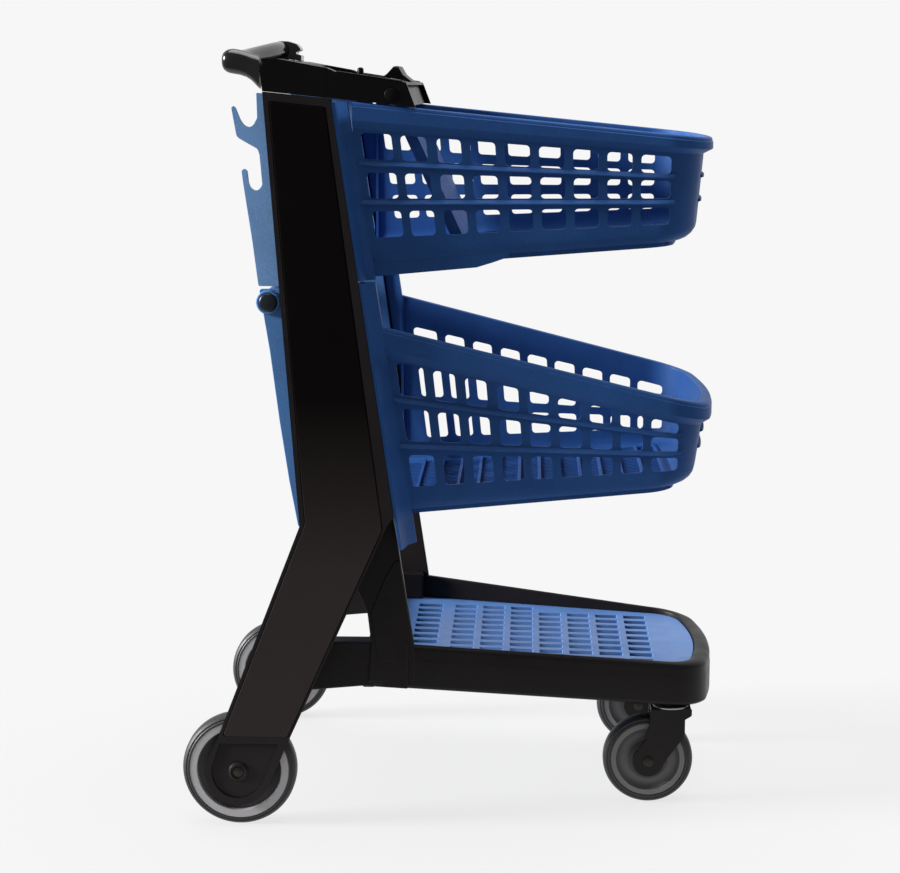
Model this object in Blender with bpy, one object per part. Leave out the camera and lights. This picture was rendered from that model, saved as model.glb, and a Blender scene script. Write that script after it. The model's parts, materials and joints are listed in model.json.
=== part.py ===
"""Rolling basket trolley: two open baskets and a low platform between leaning side frames.

Frame: metres, +Z up, +X towards the trolley's front, +Y to its left, floor at Z = 0.
The trolley is symmetric about the plane Y = 0.
"""
import math

import bmesh
import bpy
from mathutils import Vector

# ---- driving dimensions -------------------------------------------------------------------
GAP = 0.0003                 # clearance between touching solids
SIDES = {"left": 1.0, "right": -1.0}

REAR_AXLE_X = -0.280         # rear axle, and centre of the fork's round end
REAR_RADIUS = 0.075
REAR_TRACK = 0.2345          # half of the distance between the rear wheels
REAR_WIDTH = 0.027
CASTER_RADIUS = 0.0605
CASTER_AXLE_X = 0.260
SWIVEL_X = 0.290             # casters trail behind this axis
CASTER_Y = 0.129
CASTER_WIDTH = 0.026
CHEEK = 0.0085               # from the side of a caster's wheel to the outside of its fork

LEG_FOOT_Y = 0.258           # outer face of the side frames at the axle's height
LEAN = 0.050                 # how far they lean inwards for each metre of height
LEG_INNER_Y = 0.211          # inner face of the legs
KNEE_Z = 0.405               # where leg and post meet
POST_INNER_TOP_Y = 0.195     # inner face of the posts at the console
COVER_DEPTH = 0.0030         # recess for the side covers
COVER_INSET = 0.0075
COVER_FOOT = 0.1225          # height of the cover's lower edge, just above the fork's pocket
WHEEL_CLEAR = 0.0030         # room beside and round the rear wheels in their forks
POCKET_TOP = 0.1130          # recess round the axle bolt
POCKET_RADIUS = 0.0350
POCKET_DEPTH = 0.0030
AXLE_BORE = 0.0055

CONSOLE_HALF = 0.2125
CONSOLE_FLOOR = (0.9275, -0.1015)    # height at X = 0 and slope of its lower edge
CONSOLE_TOP = (0.9520, -0.1810)
CONSOLE_WALL = 0.0040
TRAY_DEPTH = 0.0085
TRAY_HALF = 0.170
TRAY_REAR = -0.1960
TRAY_FRONT = -0.1040
CLIP_HALF = 0.050
CLIP_LIFT = 0.0004           # gap under the list clip, which rests on the console
PEG = (-0.1420, 0.1000)      # place of the peg in the tray

TAPER = (0.2074, -0.0643)    # half-width of the basket rims at X = 0, and its slope
RIM_PROUD = 0.010            # how far a rim stands out from the wall under it
WALL_DRAFT = 0.010           # how far a wall leans in towards its foot
WALL = 0.0036
BASKET_CORNER = 0.060
BASKET_ROUND = 0.022         # height of the rounded edge between floor and wall
FOOT_INSET = 0.036           # how far the floor ends behind the lip at the front
UPPER_RIM = (0.9262, -0.1014)
UPPER_FOOT = (0.7352, 0.0712)
LOWER_RIM = (0.6313, -0.2491)
LOWER_FOOT = (0.4118, 0.0815)

BASE_TAPER = (0.1865, -0.1520)       # half-width inside the base's rim, and its slope
BASE_RIM = (0.2276, -0.1014)
BASE_FOOT = (0.1680, -0.1000)
BASE_WALL = 0.010
DECK_TOP = (0.1985, -0.0275)
BASE_FRONT = 0.3515
BASE_EDGE = 0.006            # rounding of the base's upper and lower edges
DECK_DROP = 0.0075           # how far the deck lies under the grille's top
DECK_THICK = 0.0080
STEM_HOLE = 0.0065

UPPER_PIVOT = (-0.0788, 0.9472)      # X and Z of the gates' hinge rods
LOWER_PIVOT = (-0.2383, 0.6850)
UPPER_GATE_TILT = math.radians(24.7)
LOWER_GATE_TILT = math.radians(32.4)

HANDLE_END = (-0.2775, 0.2000, 0.9900)
HANDLE_MID = (-0.2400, 0.0, 1.0050)
HANDLE_RADIUS = 0.0125
HANDLE_BLOCK = 0.0180        # half-width of the block in the middle of the grip
ARM_WIDE = 0.0125            # half-width of the arms that carry the grip's ends


# ---- small helpers --------------------------------------------------------------------------
def on(line, x):
    """Value at x of a line given as (value at zero, slope)."""
    return line[0] + line[1] * x


def raised(line, height):
    return line[0] + height, line[1]


def material(name, colour, roughness, metallic=0.0):
    mat = bpy.data.materials.new(name)
    mat.use_nodes = True
    shader = mat.node_tree.nodes["Principled BSDF"]
    shader.inputs["Base Color"].default_value = (*colour, 1.0)
    shader.inputs["Roughness"].default_value = roughness
    shader.inputs["Metallic"].default_value = metallic
    return mat


BLUE = (0.020, 0.075, 0.215)
BLACK = (0.012, 0.012, 0.013)
RUBBER = (0.016, 0.016, 0.018)
GREY = (0.200, 0.195, 0.200)
STEEL = (0.450, 0.450, 0.460)


def to_object(name, bm, finish, origin=(0.0, 0.0, 0.0), smooth=False):
    """Makes one object of a bmesh, with its origin at a given point and its own material."""
    bmesh.ops.remove_doubles(bm, verts=bm.verts, dist=1e-6)
    bmesh.ops.recalc_face_normals(bm, faces=bm.faces)
    bmesh.ops.translate(bm, verts=bm.verts, vec=-Vector(origin))
    mesh = bpy.data.meshes.new(name)
    bm.to_mesh(mesh)
    bm.free()
    obj = bpy.data.objects.new(name, mesh)
    bpy.context.scene.collection.objects.link(obj)
    obj.location = origin
    if finish:
        obj.data.materials.append(material(name + "_finish", *finish))
    if smooth:
        mesh.shade_smooth()
        mesh.set_sharp_from_angle(angle=math.radians(35))
    return obj


def add_loft(bm, rings):
    """Closed solid through a stack of rings that all have the same number of points."""
    rows = [[bm.verts.new(p) for p in ring] for ring in rings]
    count = len(rows[0])
    for low, high in zip(rows, rows[1:]):
        for i in range(count):
            j = (i + 1) % count
            bm.faces.new((low[i], low[j], high[j], high[i]))
    bm.faces.new(rows[0][::-1])
    bm.faces.new(rows[-1])


def add_prism(bm, outline, y_from, y_to):
    """Extrudes an (x, z) outline between two Y values, or functions that give Y at (x, z)."""
    first = y_from if callable(y_from) else lambda x, z: y_from
    last = y_to if callable(y_to) else lambda x, z: y_to
    add_loft(bm, [[(x, f(x, z), z) for x, z in outline] for f in (first, last)])


def add_turned(bm, profile, centre, axis, steps, closed=False):
    """Turns a profile of (radius, distance along the axis) about an axis of direction Y or Z."""
    rows = []
    for i in range(steps):
        angle = 2 * math.pi * i / steps
        a, b = math.cos(angle), math.sin(angle)
        row = []
        for radius, along in profile:
            offset = (a * radius, along, b * radius) if axis == "Y" else (a * radius, b * radius, along)
            row.append(bm.verts.new(Vector(centre) + Vector(offset)))
        rows.append(row)
    spans = len(profile) if closed else len(profile) - 1
    for i in range(steps):
        here, there = rows[i], rows[(i + 1) % steps]
        for k in range(spans):
            m = (k + 1) % len(profile)
            bm.faces.new((here[k], here[m], there[m], there[k]))
    if not closed:
        bm.faces.new([row[0] for row in rows])
        bm.faces.new([row[-1] for row in rows][::-1])


def prism(name, outline, y_from, y_to, finish, origin=(0.0, 0.0, 0.0)):
    bm = bmesh.new()
    add_prism(bm, outline, y_from, y_to)
    return to_object(name, bm, finish, origin)


def turned(name, profile, centre, axis, finish, steps=24, closed=False, origin=None):
    bm = bmesh.new()
    add_turned(bm, profile, centre, axis, steps, closed)
    return to_object(name, bm, finish, centre if origin is None else origin, smooth=True)


def box_outline(x0, x1, z0, z1):
    return [(x0, z0), (x1, z0), (x1, z1), (x0, z1)]


def arc(centre, radius, start, end, steps):
    """Points on an arc in a plane, with its angles in degrees."""
    angles = [math.radians(start + (end - start) * i / steps) for i in range(steps + 1)]
    return [(centre[0] + radius * math.cos(a), centre[1] + radius * math.sin(a)) for a in angles]


def combine(obj, other, operation):
    """Adds a Boolean modifier, with the other object hidden as its cutter or its second half."""
    other.hide_render = True
    other.display_type = "WIRE"
    modifier = obj.modifiers.new(operation.lower(), "BOOLEAN")
    modifier.operation = operation
    modifier.solver = "EXACT"
    modifier.object = other


# ---- side frames and covers ------------------------------------------------------------------
POST_REAR = ((-0.2410, 0.950), (-0.1974, 0.400))
POST_FRONT = ((-0.1555, 0.941), (-0.0762, 0.412))
LEG_REAR_SLOPE = 0.390
LEG_FRONT = ((-0.0842, 0.402), (-0.2115, 0.122))
FORK_END_RADIUS = 0.044


def outer_y(z):
    """Distance from the middle plane to the outer face of a side frame."""
    return LEG_FOOT_Y - LEAN * (z - REAR_RADIUS)


def inner_y(z):
    rise = (POST_INNER_TOP_Y - LEG_INNER_Y) / (0.950 - KNEE_Z)
    return LEG_INNER_Y + rise * max(0.0, z - KNEE_Z)


def side_outline():
    """Outline of a side frame: post, knee, leg and the fork's round end."""
    end = arc((REAR_AXLE_X, REAR_RADIUS), FORK_END_RADIUS, 168.0, 335.0, 9)
    post_top = [(x, on(CONSOLE_FLOOR, x) - 2 * GAP) for x in (POST_REAR[0][0], POST_FRONT[0][0])]
    return [*post_top[::-1], POST_REAR[1], (-0.3072, 0.118), *end, LEG_FRONT[1], LEG_FRONT[0], POST_FRONT[1]]


def inset_line(a, b, distance):
    """A line through a and b, moved to its left by a distance."""
    along = (Vector(b) - Vector(a)).normalized()
    shift = Vector((-along.y, along.x)) * distance
    return Vector(a) + shift, Vector(b) + shift


def cross(first, second):
    """Where two lines of the plane meet."""
    (p, q), (r, s) = first, second
    d, e = q - p, s - r
    t = ((r.x - p.x) * e.y - (r.y - p.y) * e.x) / (d.x * e.y - d.y * e.x)
    return tuple(p + d * t)


def cover_outline(inset):
    """Outline of the side cover, which follows the post and the leg down to the fork."""
    top_left = (POST_REAR[0][0], 0.9495)
    top_right = (POST_FRONT[0][0], 0.9405)
    foot_left = (POST_REAR[1][0] - LEG_REAR_SLOPE * (POST_REAR[1][1] - COVER_FOOT), COVER_FOOT)
    corners = [top_left, POST_REAR[1], foot_left, LEG_FRONT[1], LEG_FRONT[0], top_right]
    insets = [inset, inset - 0.002, 0.0, inset - 0.004, inset, inset + 0.002]
    lines = [inset_line(corners[i], corners[(i + 1) % 6], insets[i]) for i in range(6)]
    return [cross(lines[i - 1], lines[i]) for i in range(6)]


def make_side_frame(name, side):
    frame_finish = (BLACK, 0.42)
    sheet = prism("side_frame_" + name, side_outline(),
                  lambda x, z: side * outer_y(z), lambda x, z: side * 0.180, frame_finish)
    trim = bmesh.new()
    levels = [0.0, KNEE_Z, 1.0]
    add_loft(trim, [[(x, side * y, z) for x, y in
                     ((-0.4, 0.10), (0.1, 0.10), (0.1, inner_y(z)), (-0.4, inner_y(z)))] for z in levels])
    combine(sheet, to_object("inner_trim_" + name, trim, None), "DIFFERENCE")

    recess = prism("cover_recess_" + name, cover_outline(COVER_INSET - 0.0010),
                   lambda x, z: side * (outer_y(z) + 0.01),
                   lambda x, z: side * (outer_y(z) - COVER_DEPTH), None)
    combine(sheet, recess, "DIFFERENCE")

    hub = (REAR_AXLE_X, side * REAR_TRACK, REAR_RADIUS)
    slot_half = REAR_WIDTH / 2 + WHEEL_CLEAR
    slot = bmesh.new()
    swing = [(REAR_RADIUS + 2 * WHEEL_CLEAR, -slot_half), (REAR_RADIUS + 2 * WHEEL_CLEAR, slot_half)]
    add_turned(slot, swing, hub, "Y", 32)
    combine(sheet, to_object("wheel_slot_" + name, slot, None), "DIFFERENCE")

    pocket_arc = arc((REAR_AXLE_X, REAR_RADIUS), POCKET_RADIUS, 168.0, 335.0, 8)
    pocket = [(-0.3055, POCKET_TOP), *pocket_arc, (-0.2265, POCKET_TOP)]
    pocket_cut = prism("fork_pocket_" + name, pocket, lambda x, z: side * (outer_y(z) + 0.01),
                       lambda x, z: side * (outer_y(z) - POCKET_DEPTH), None)
    combine(sheet, pocket_cut, "DIFFERENCE")

    bore = bmesh.new()
    add_turned(bore, [(AXLE_BORE, -0.06), (AXLE_BORE, 0.06)], hub, "Y", 12)
    combine(sheet, to_object("axle_bore_" + name, bore, None), "DIFFERENCE")


def make_side_cover(name, side):
    prism("side_cover_" + name, cover_outline(COVER_INSET), lambda x, z: side * outer_y(z),
          lambda x, z: side * (outer_y(z) - COVER_DEPTH + GAP), (BLACK, 0.50))


# ---- base frame and platform ------------------------------------------------------------------
def half_plan(line, grow, rear_x, front_x, corner, steps=5):
    """Right half of a tapered plan outline, from its rear to the middle of its bulged front."""
    bulge = 0.010
    edge = front_x - bulge - corner
    points = [(rear_x, on(line, rear_x) + grow), (edge, on(line, edge) + grow)]
    side_w = on(line, edge) + grow
    points += arc((edge, side_w - corner), corner, 90 - 90 / steps, 8, steps - 1)
    points += [(front_x - bulge * 0.45, side_w * 0.48)]
    return points


def plan(line, grow, rear_x, front_x, corner, steps=5):
    """Whole tapered plan outline as (x, y), mirrored about the middle plane."""
    half = half_plan(line, grow, rear_x, front_x, corner, steps)
    return half + [(front_x, 0.0)] + [(x, -y) for x, y in reversed(half)]


def ring(outline, height):
    """Lifts a plan outline to a height given as a line in x."""
    return [(x, y, on(height, x)) for x, y in outline]


STRUT = [(-0.0735, 0.3740), (-0.0510, 0.2250), (-0.0517, 0.1850), (-0.1123, 0.1853), (-0.1085, 0.2400),
         (-0.1130, 0.2800), (-0.1260, 0.3120), (-0.1500, 0.3120), (-0.1150, 0.3980), (-0.0790, 0.4060)]
REAR_BEAM = [(-0.0600, 0.1755), (-0.1200, 0.1790), (-0.1960, 0.1720), (-0.1960, 0.2390), (-0.0600, 0.2390)]


def make_base_frame():
    bm = bmesh.new()
    outer = plan(BASE_TAPER, BASE_WALL, -0.070, BASE_FRONT, 0.060)
    tucked = plan(BASE_TAPER, BASE_WALL - BASE_EDGE, -0.070, BASE_FRONT - BASE_EDGE, 0.055)
    eased = plan(BASE_TAPER, BASE_WALL - 0.004, -0.070, BASE_FRONT - BASE_EDGE, 0.057)
    add_loft(bm, [ring(tucked, BASE_FOOT), ring(outer, raised(BASE_FOOT, BASE_EDGE)),
                  ring(outer, raised(BASE_RIM, -BASE_EDGE)), ring(eased, BASE_RIM)])
    base = to_object("base_frame", bm, (BLACK, 0.45))

    for name, side in SIDES.items():
        beam = prism("rear_beam_" + name, REAR_BEAM, side * (LEG_INNER_Y - 2 * GAP), side * 0.180, None)
        combine(base, beam, "UNION")
        strut = prism("strut_" + name, STRUT, lambda x, z: side * (on(BASE_TAPER, x) + BASE_WALL + 0.0010),
                      lambda x, z: side * (on(BASE_TAPER, x) + 0.0012), None)
        combine(base, strut, "UNION")
    cross_beam = prism("rear_cross", box_outline(-0.121, -0.100, 0.1760, 0.2130), -0.205, 0.205, None)
    combine(base, cross_beam, "UNION")
    deck_web = prism("rear_deck", box_outline(-0.121, -0.065, 0.1765, 0.1900), -0.200, 0.200, None)
    combine(base, deck_web, "UNION")
    for name, side in SIDES.items():
        leg_room = prism("leg_room_" + name, box_outline(-0.200, -0.075, 0.150, 0.420),
                         side * (LEG_INNER_Y - GAP), side * 0.240, None)
        combine(base, leg_room, "DIFFERENCE")

    recess = bmesh.new()
    inside = plan(BASE_TAPER, 0.0, -0.102, BASE_FRONT - 0.022, 0.050)
    add_loft(recess, [ring(inside, raised(DECK_TOP, -DECK_DROP)), ring(inside, (0.30, 0.0))])
    combine(base, to_object("platform_recess", recess, None), "DIFFERENCE")

    cavity = bmesh.new()
    hollow = plan(BASE_TAPER, -0.002, -0.048, 0.236, 0.020)
    add_loft(cavity, [ring(hollow, (0.10, 0.0)), ring(hollow, raised(DECK_TOP, -DECK_DROP - DECK_THICK))])
    combine(base, to_object("under_hollow", cavity, None), "DIFFERENCE")
    window = bmesh.new()
    opening = plan(BASE_TAPER, -0.028, -0.030, 0.215, 0.020)
    add_loft(window, [ring(opening, (0.12, 0.0)), ring(opening, (0.25, 0.0))])
    combine(base, to_object("deck_opening", window, None), "DIFFERENCE")
    for name, side in SIDES.items():
        hole = bmesh.new()
        add_turned(hole, [(STEM_HOLE, 0.10), (STEM_HOLE, 0.165)], (SWIVEL_X, side * CASTER_Y, 0.0), "Z", 12)
        combine(base, to_object("stem_hole_" + name, hole, None), "DIFFERENCE")


SLOT_ROWS = 11
SLOT_PITCH_Y = 0.0290
SLOT_HALF_Y = 0.0085
SLOT_COLUMNS = [(-0.0630, 0.0345)] + [(-0.0095 + 0.0410 * k, 0.0315) for k in range(7)]


def make_platform_grille():
    bm = bmesh.new()
    outline = plan(BASE_TAPER, -0.0008, -0.101, BASE_FRONT - 0.0228, 0.0495)
    add_loft(bm, [ring(outline, raised(DECK_TOP, GAP - DECK_DROP)), ring(outline, DECK_TOP)])
    grille = to_object("platform_grille", bm, (BLUE, 0.45))
    cuts = bmesh.new()
    for start, length in SLOT_COLUMNS:
        room = on(BASE_TAPER, start + length) - 0.012
        for row in range(SLOT_ROWS):
            y = (row - (SLOT_ROWS - 1) / 2) * SLOT_PITCH_Y
            if abs(y) + SLOT_HALF_Y < room:
                outline = box_outline(start, start + length, 0.17, 0.22)
                add_prism(cuts, outline, y - SLOT_HALF_Y, y + SLOT_HALF_Y)
    combine(grille, to_object("grille_slots", cuts, None), "DIFFERENCE")


# ---- baskets ----------------------------------------------------------------------------------
def make_basket(name, spec):
    """A tapered tub: wall, standing rim and floor, open to the rear and pierced by windows."""
    rear, front, corner = spec["rear"], spec["front"], BASKET_CORNER
    rim, foot, under, crease = spec["rim"], spec["foot"], spec["under"], spec["crease"]
    lip = plan(TAPER, 0.0, rear, front, corner, 4)
    wall_top = plan(TAPER, -RIM_PROUD, rear, front - 0.012, corner - 0.006, 4)
    wall_foot = plan(TAPER, -RIM_PROUD - WALL_DRAFT + 0.004, rear, front - 0.020, corner - 0.010, 4)
    foot_in = plan(TAPER, -RIM_PROUD - WALL_DRAFT - 0.004, rear, front - FOOT_INSET, corner - 0.014, 4)
    mouth = plan(TAPER, -RIM_PROUD - WALL, rear + WALL, front - 0.012 - WALL, corner - 0.010, 4)
    floor = plan(TAPER, -RIM_PROUD - WALL_DRAFT - WALL, rear + WALL, front - FOOT_INSET - WALL,
                 corner - 0.018, 4)
    floor_top = raised(foot, WALL)
    bm = bmesh.new()
    add_loft(bm, [ring(foot_in, foot), ring(wall_foot, raised(foot, BASKET_ROUND)), ring(wall_top, crease),
                  ring(lip, under), ring(lip, rim), ring(mouth, rim), ring(floor, floor_top)])
    basket = to_object(name, bm, (BLUE, 0.40))

    for side in SIDES.values():
        combine(basket, corner_panel(name + "_corner", side, spec), "UNION")
    gate_way = bmesh.new()
    half = on(TAPER, rear) - RIM_PROUD - WALL_DRAFT - WALL
    top_half = on(TAPER, rear) - RIM_PROUD - WALL
    low, high = on(floor_top, rear) + 0.0005, on(rim, rear) + 0.05
    x0, x1 = rear - 0.05, rear + 0.010
    add_loft(gate_way, [[(x0, -w, z), (x1, -w, z), (x1, w, z), (x0, w, z)]
                        for w, z in ((half, low), (top_half, high))])
    combine(basket, to_object(name + "_gateway", gate_way, None), "DIFFERENCE")

    cuts = bmesh.new()
    for left, right in spec["columns"]:
        for top, bottom in spec["rows"]:
            add_prism(cuts, window(spec, left, right, top, bottom), -0.26, 0.26)
    combine(basket, to_object(name + "_windows", cuts, None), "DIFFERENCE")


def post_front_x(z):
    (x0, z0), (x1, z1) = POST_FRONT
    return x0 + (x1 - x0) * (z - z0) / (z1 - z0)


def corner_panel(name, side, spec):
    """Slanted panel that joins a basket's wall to the front edge of a post."""
    bm = bmesh.new()
    rings = []
    for z in spec["panel"]:
        x0 = post_front_x(z) + 0.0006
        x1 = x0 + PANEL_WIDTH
        y0 = outer_y(z) - 0.001
        height = (z - on(spec["foot"], x1)) / (on(spec["rim"], x1) - on(spec["foot"], x1))
        draft = WALL_DRAFT * (1.0 - min(1.0, max(0.0, height)))
        y1 = on(TAPER, x1) - RIM_PROUD - draft
        rings.append([(x0, side * y0, z), (x1 + 0.003, side * (y1 - 0.0005), z),
                      (x1 + 0.003, side * (y1 - WALL + 0.0005), z), (x0, side * (y0 - 0.016), z)])
    add_loft(bm, rings)
    return to_object(name, bm, None)


def line_through(x0, z0, x1, z1):
    """The (value at zero, slope) of a line through two points."""
    slope = (z1 - z0) / (x1 - x0)
    return z0 - slope * x0, slope


def window(spec, left, right, top, bottom):
    """Outline of a window whose sides lean with the posts, less and less towards the front."""
    def lean(x, edge):
        slant = spec["lean"][0] + spec["lean"][1] * x
        return x + slant * (on(spec["middle"], x) - on(edge, x))

    corners = [(lean(x, bottom), bottom) for x in (left, right)]
    corners += [(lean(x, top), top) for x in (right, left)]
    return [(x, on(line, x)) for x, line in corners]


UPPER = {
    "rear": -0.1280, "front": 0.3400, "rim": UPPER_RIM, "foot": UPPER_FOOT,
    "under": (0.9042, -0.0809), "crease": (0.8959, -0.0751),
    "panel": (0.7140, 0.8300, 0.9380), "lean": (0.094, -0.40), "middle": (0.8314, -0.0145),
    "columns": [(-0.1094, -0.0720), (-0.0613, -0.0296), (-0.0169, 0.0129), (0.0243, 0.0554), (0.0668, 0.0980),
                (0.1095, 0.1411), (0.1520, 0.1833), (0.1946, 0.2261), (0.2373, 0.2749)],
    "rows": [(line_through(-0.0975, 0.8992, 0.2556, 0.8713), line_through(-0.0951, 0.8663, 0.2559, 0.8490)),
             (line_through(-0.0928, 0.8498, 0.2562, 0.8397), line_through(-0.0892, 0.8172, 0.2566, 0.8168)),
             (line_through(-0.0856, 0.8012, 0.2569, 0.8050), line_through(-0.0833, 0.7680, 0.2573, 0.7831))]}
LOWER = {
    "rear": -0.0920, "front": 0.3450, "rim": LOWER_RIM, "foot": LOWER_FOOT,
    "under": (0.6045, -0.2324), "crease": (0.5941, -0.2297),
    "panel": (0.3700, 0.5200, 0.7112), "lean": (0.105, -0.37), "middle": (0.5206, -0.0843),
    "columns": [(-0.0646, -0.0314), (-0.0197, 0.0074), (0.0198, 0.0466), (0.0594, 0.0864), (0.0978, 0.1253),
                (0.1364, 0.1649), (0.1766, 0.2047), (0.2158, 0.2449), (0.2557, 0.2911)],
    "rows": [(line_through(-0.0747, 0.6085, 0.2888, 0.5262), line_through(-0.0749, 0.5655, 0.2892, 0.5122)),
             (line_through(-0.0670, 0.5480, 0.2893, 0.5058), line_through(-0.0671, 0.5053, 0.2896, 0.4877)),
             (line_through(-0.0578, 0.4862, 0.2872, 0.4805), line_through(-0.0579, 0.4433, 0.2875, 0.4634))]}
PANEL_WIDTH = 0.0190


# ---- hook plates and hinge plates behind the posts ----------------------------------------------
PLATE_OUTER_Y = 0.1940
PLATE_THICK = 0.0040
HOOKS = [(-0.2510, 0.9500), (-0.2502, 0.9184), (-0.2555, 0.9088), (-0.2612, 0.9065), (-0.2671, 0.9100),
         (-0.2712, 0.9159), (-0.2773, 0.9309), (-0.2805, 0.9342), (-0.2830, 0.9310), (-0.2766, 0.8946),
         (-0.2615, 0.8858), (-0.2501, 0.8796), (-0.2477, 0.8720), (-0.2445, 0.8342), (-0.2490, 0.8278),
         (-0.2545, 0.8270), (-0.2595, 0.8310), (-0.2617, 0.8367), (-0.2633, 0.8519), (-0.2671, 0.8550),
         (-0.2710, 0.8525), (-0.2687, 0.8342), (-0.2583, 0.7644), (-0.2509, 0.7055), (-0.1300, 0.7055),
         (-0.1300, 0.7550), (-0.1568, 0.9410)]
HINGE_PLATE = [(-0.2503, 0.7020), (-0.2373, 0.6230), (-0.2256, 0.5317), (-0.2136, 0.4527), (-0.2026, 0.3930),
               (-0.1250, 0.3930), (-0.1220, 0.4120), (-0.0860, 0.4200), (-0.0860, 0.4360), (-0.1208, 0.7020)]
BOSS_RADIUS = 0.0155


def plate_y(side, depth=0.0):
    """Height-dependent Y of a plate that lies against the post's inner face."""
    return lambda x, z: side * (inner_y(z) - GAP - 0.0004 - depth)


def make_hook_plates(name, side):
    prism("upper_hook_plate_" + name, HOOKS, plate_y(side), plate_y(side, PLATE_THICK), (BLUE, 0.40))
    plate = prism("lower_hinge_plate_" + name, HINGE_PLATE, plate_y(side), plate_y(side, PLATE_THICK),
                  (BLUE, 0.40))
    centre = (LOWER_PIVOT[0], 0.0, LOWER_PIVOT[1])
    start = side * 0.1880
    boss = bmesh.new()
    add_turned(boss, [(BOSS_RADIUS, start), (BOSS_RADIUS, side * 0.2070)], centre, "Y", 20)
    combine(plate, to_object("rod_boss_" + name, boss, None), "UNION")
    hole = bmesh.new()
    add_turned(hole, [(0.0093, side * 0.17), (0.0093, side * 0.22)], centre, "Y", 16)
    combine(plate, to_object("rod_hole_" + name, hole, None), "DIFFERENCE")
    cap = [(0.0120, side * 0.2073), (0.0120, side * 0.2095)]
    turned("lower_rod_cap_" + name, cap, centre, "Y", (BLACK, 0.35), 20)


# ---- gates --------------------------------------------------------------------------------------
GATE_THICK = 0.0040
GATE_COLUMNS, GATE_ROWS = 5, 3
GATE_TOP = 0.050             # distance from the rod to the first row of slots
NECK_BACK = 0.0120           # the neck hangs this far behind the rod, clear of the console's front wall
STEP = 0.0400                # distance from the rod to the step between neck and panel
PANEL_FACE = -0.0064         # front face of the panel, in front of the rod
FLANGE_BACK = 0.0081         # rear edge of the panel's side flanges


def gate_outline(pivot, tilt, knuckle, step, length):
    """Section of a gate: a knuckle round its rod, a stepped web, and a panel hanging at a tilt."""
    along = Vector((math.sin(tilt), -math.cos(tilt)))
    behind = Vector((-math.cos(tilt), -math.sin(tilt)))
    web = knuckle * 0.75
    if step:
        inner = math.degrees(math.acos(web / knuckle))
        local = arc((0.0, 0.0), knuckle, inner, -180.0 - inner, 10)
        local += [(-web, NECK_BACK + GATE_THICK), (STEP + GATE_THICK, NECK_BACK + GATE_THICK),
                  (STEP + GATE_THICK, PANEL_FACE + GATE_THICK), (length, PANEL_FACE + GATE_THICK),
                  (length, PANEL_FACE), (STEP, PANEL_FACE), (STEP, NECK_BACK), (web + 0.004, NECK_BACK)]
    else:
        spread = math.degrees(math.asin(GATE_THICK / 2 / knuckle))
        local = arc((0.0, 0.0), knuckle, spread, 360.0 - spread, 12)
        local += [(length, -GATE_THICK / 2), (length, GATE_THICK / 2)]
    return [tuple(Vector(pivot) + along * s + behind * n) for s, n in local]


def make_gate(name, pivot, tilt, knuckle, bore, step, length, half):
    origin = Vector((pivot[0], 0.0, pivot[1]))
    gate = prism(name, gate_outline(pivot, tilt, knuckle, step, length), -half, half, (BLUE, 0.42), origin)
    hole = bmesh.new()
    add_turned(hole, [(bore, -half - 0.01), (bore, half + 0.01)], origin, "Y", 16)
    combine(gate, to_object(name + "_bore", hole, None), "DIFFERENCE")
    return gate


def add_flanges(gate, pivot, tilt, length, half):
    """Folded side edges that stiffen the panel of the upper gate."""
    along = Vector((math.sin(tilt), -math.cos(tilt)))
    behind = Vector((-math.cos(tilt), -math.sin(tilt)))
    section = [(STEP + 0.002, PANEL_FACE + 0.001), (STEP + 0.002, FLANGE_BACK),
               (length - 0.001, FLANGE_BACK), (length - 0.001, PANEL_FACE + 0.001)]
    outline = [tuple(Vector(pivot) + along * s + behind * n) for s, n in section]
    for side in SIDES.values():
        y0, y1 = sorted((side * (half - 0.0005), side * (half - 0.0045)))
        combine(gate, prism(gate.name + "_flange", outline, y0, y1, None), "UNION")


def cut_lattice(gate, pivot, tilt, length, half):
    along = Vector((math.sin(tilt), 0.0, -math.cos(tilt)))
    behind = Vector((-math.cos(tilt), 0.0, -math.sin(tilt)))
    cuts = bmesh.new()
    pitch_y = (2 * half - 0.020) / GATE_COLUMNS
    pitch_s = (length - GATE_TOP - 0.010) / GATE_ROWS
    for i in range(GATE_COLUMNS):
        for j in range(GATE_ROWS):
            y0 = -half + 0.010 + i * pitch_y + 0.006
            y1 = y0 + pitch_y - 0.012
            s0 = GATE_TOP + j * pitch_s + 0.005
            s1 = s0 + pitch_s - 0.010
            corners = [(s0, y0), (s1, y0), (s1, y1), (s0, y1)]
            origin = Vector((pivot[0], 0.0, pivot[1]))
            add_loft(cuts, [[origin + along * s + behind * n + Vector((0, y, 0)) for s, y in corners]
                            for n in (-0.008, 0.008)])
    combine(gate, to_object(gate.name + "_slots", cuts, None), "DIFFERENCE")


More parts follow.
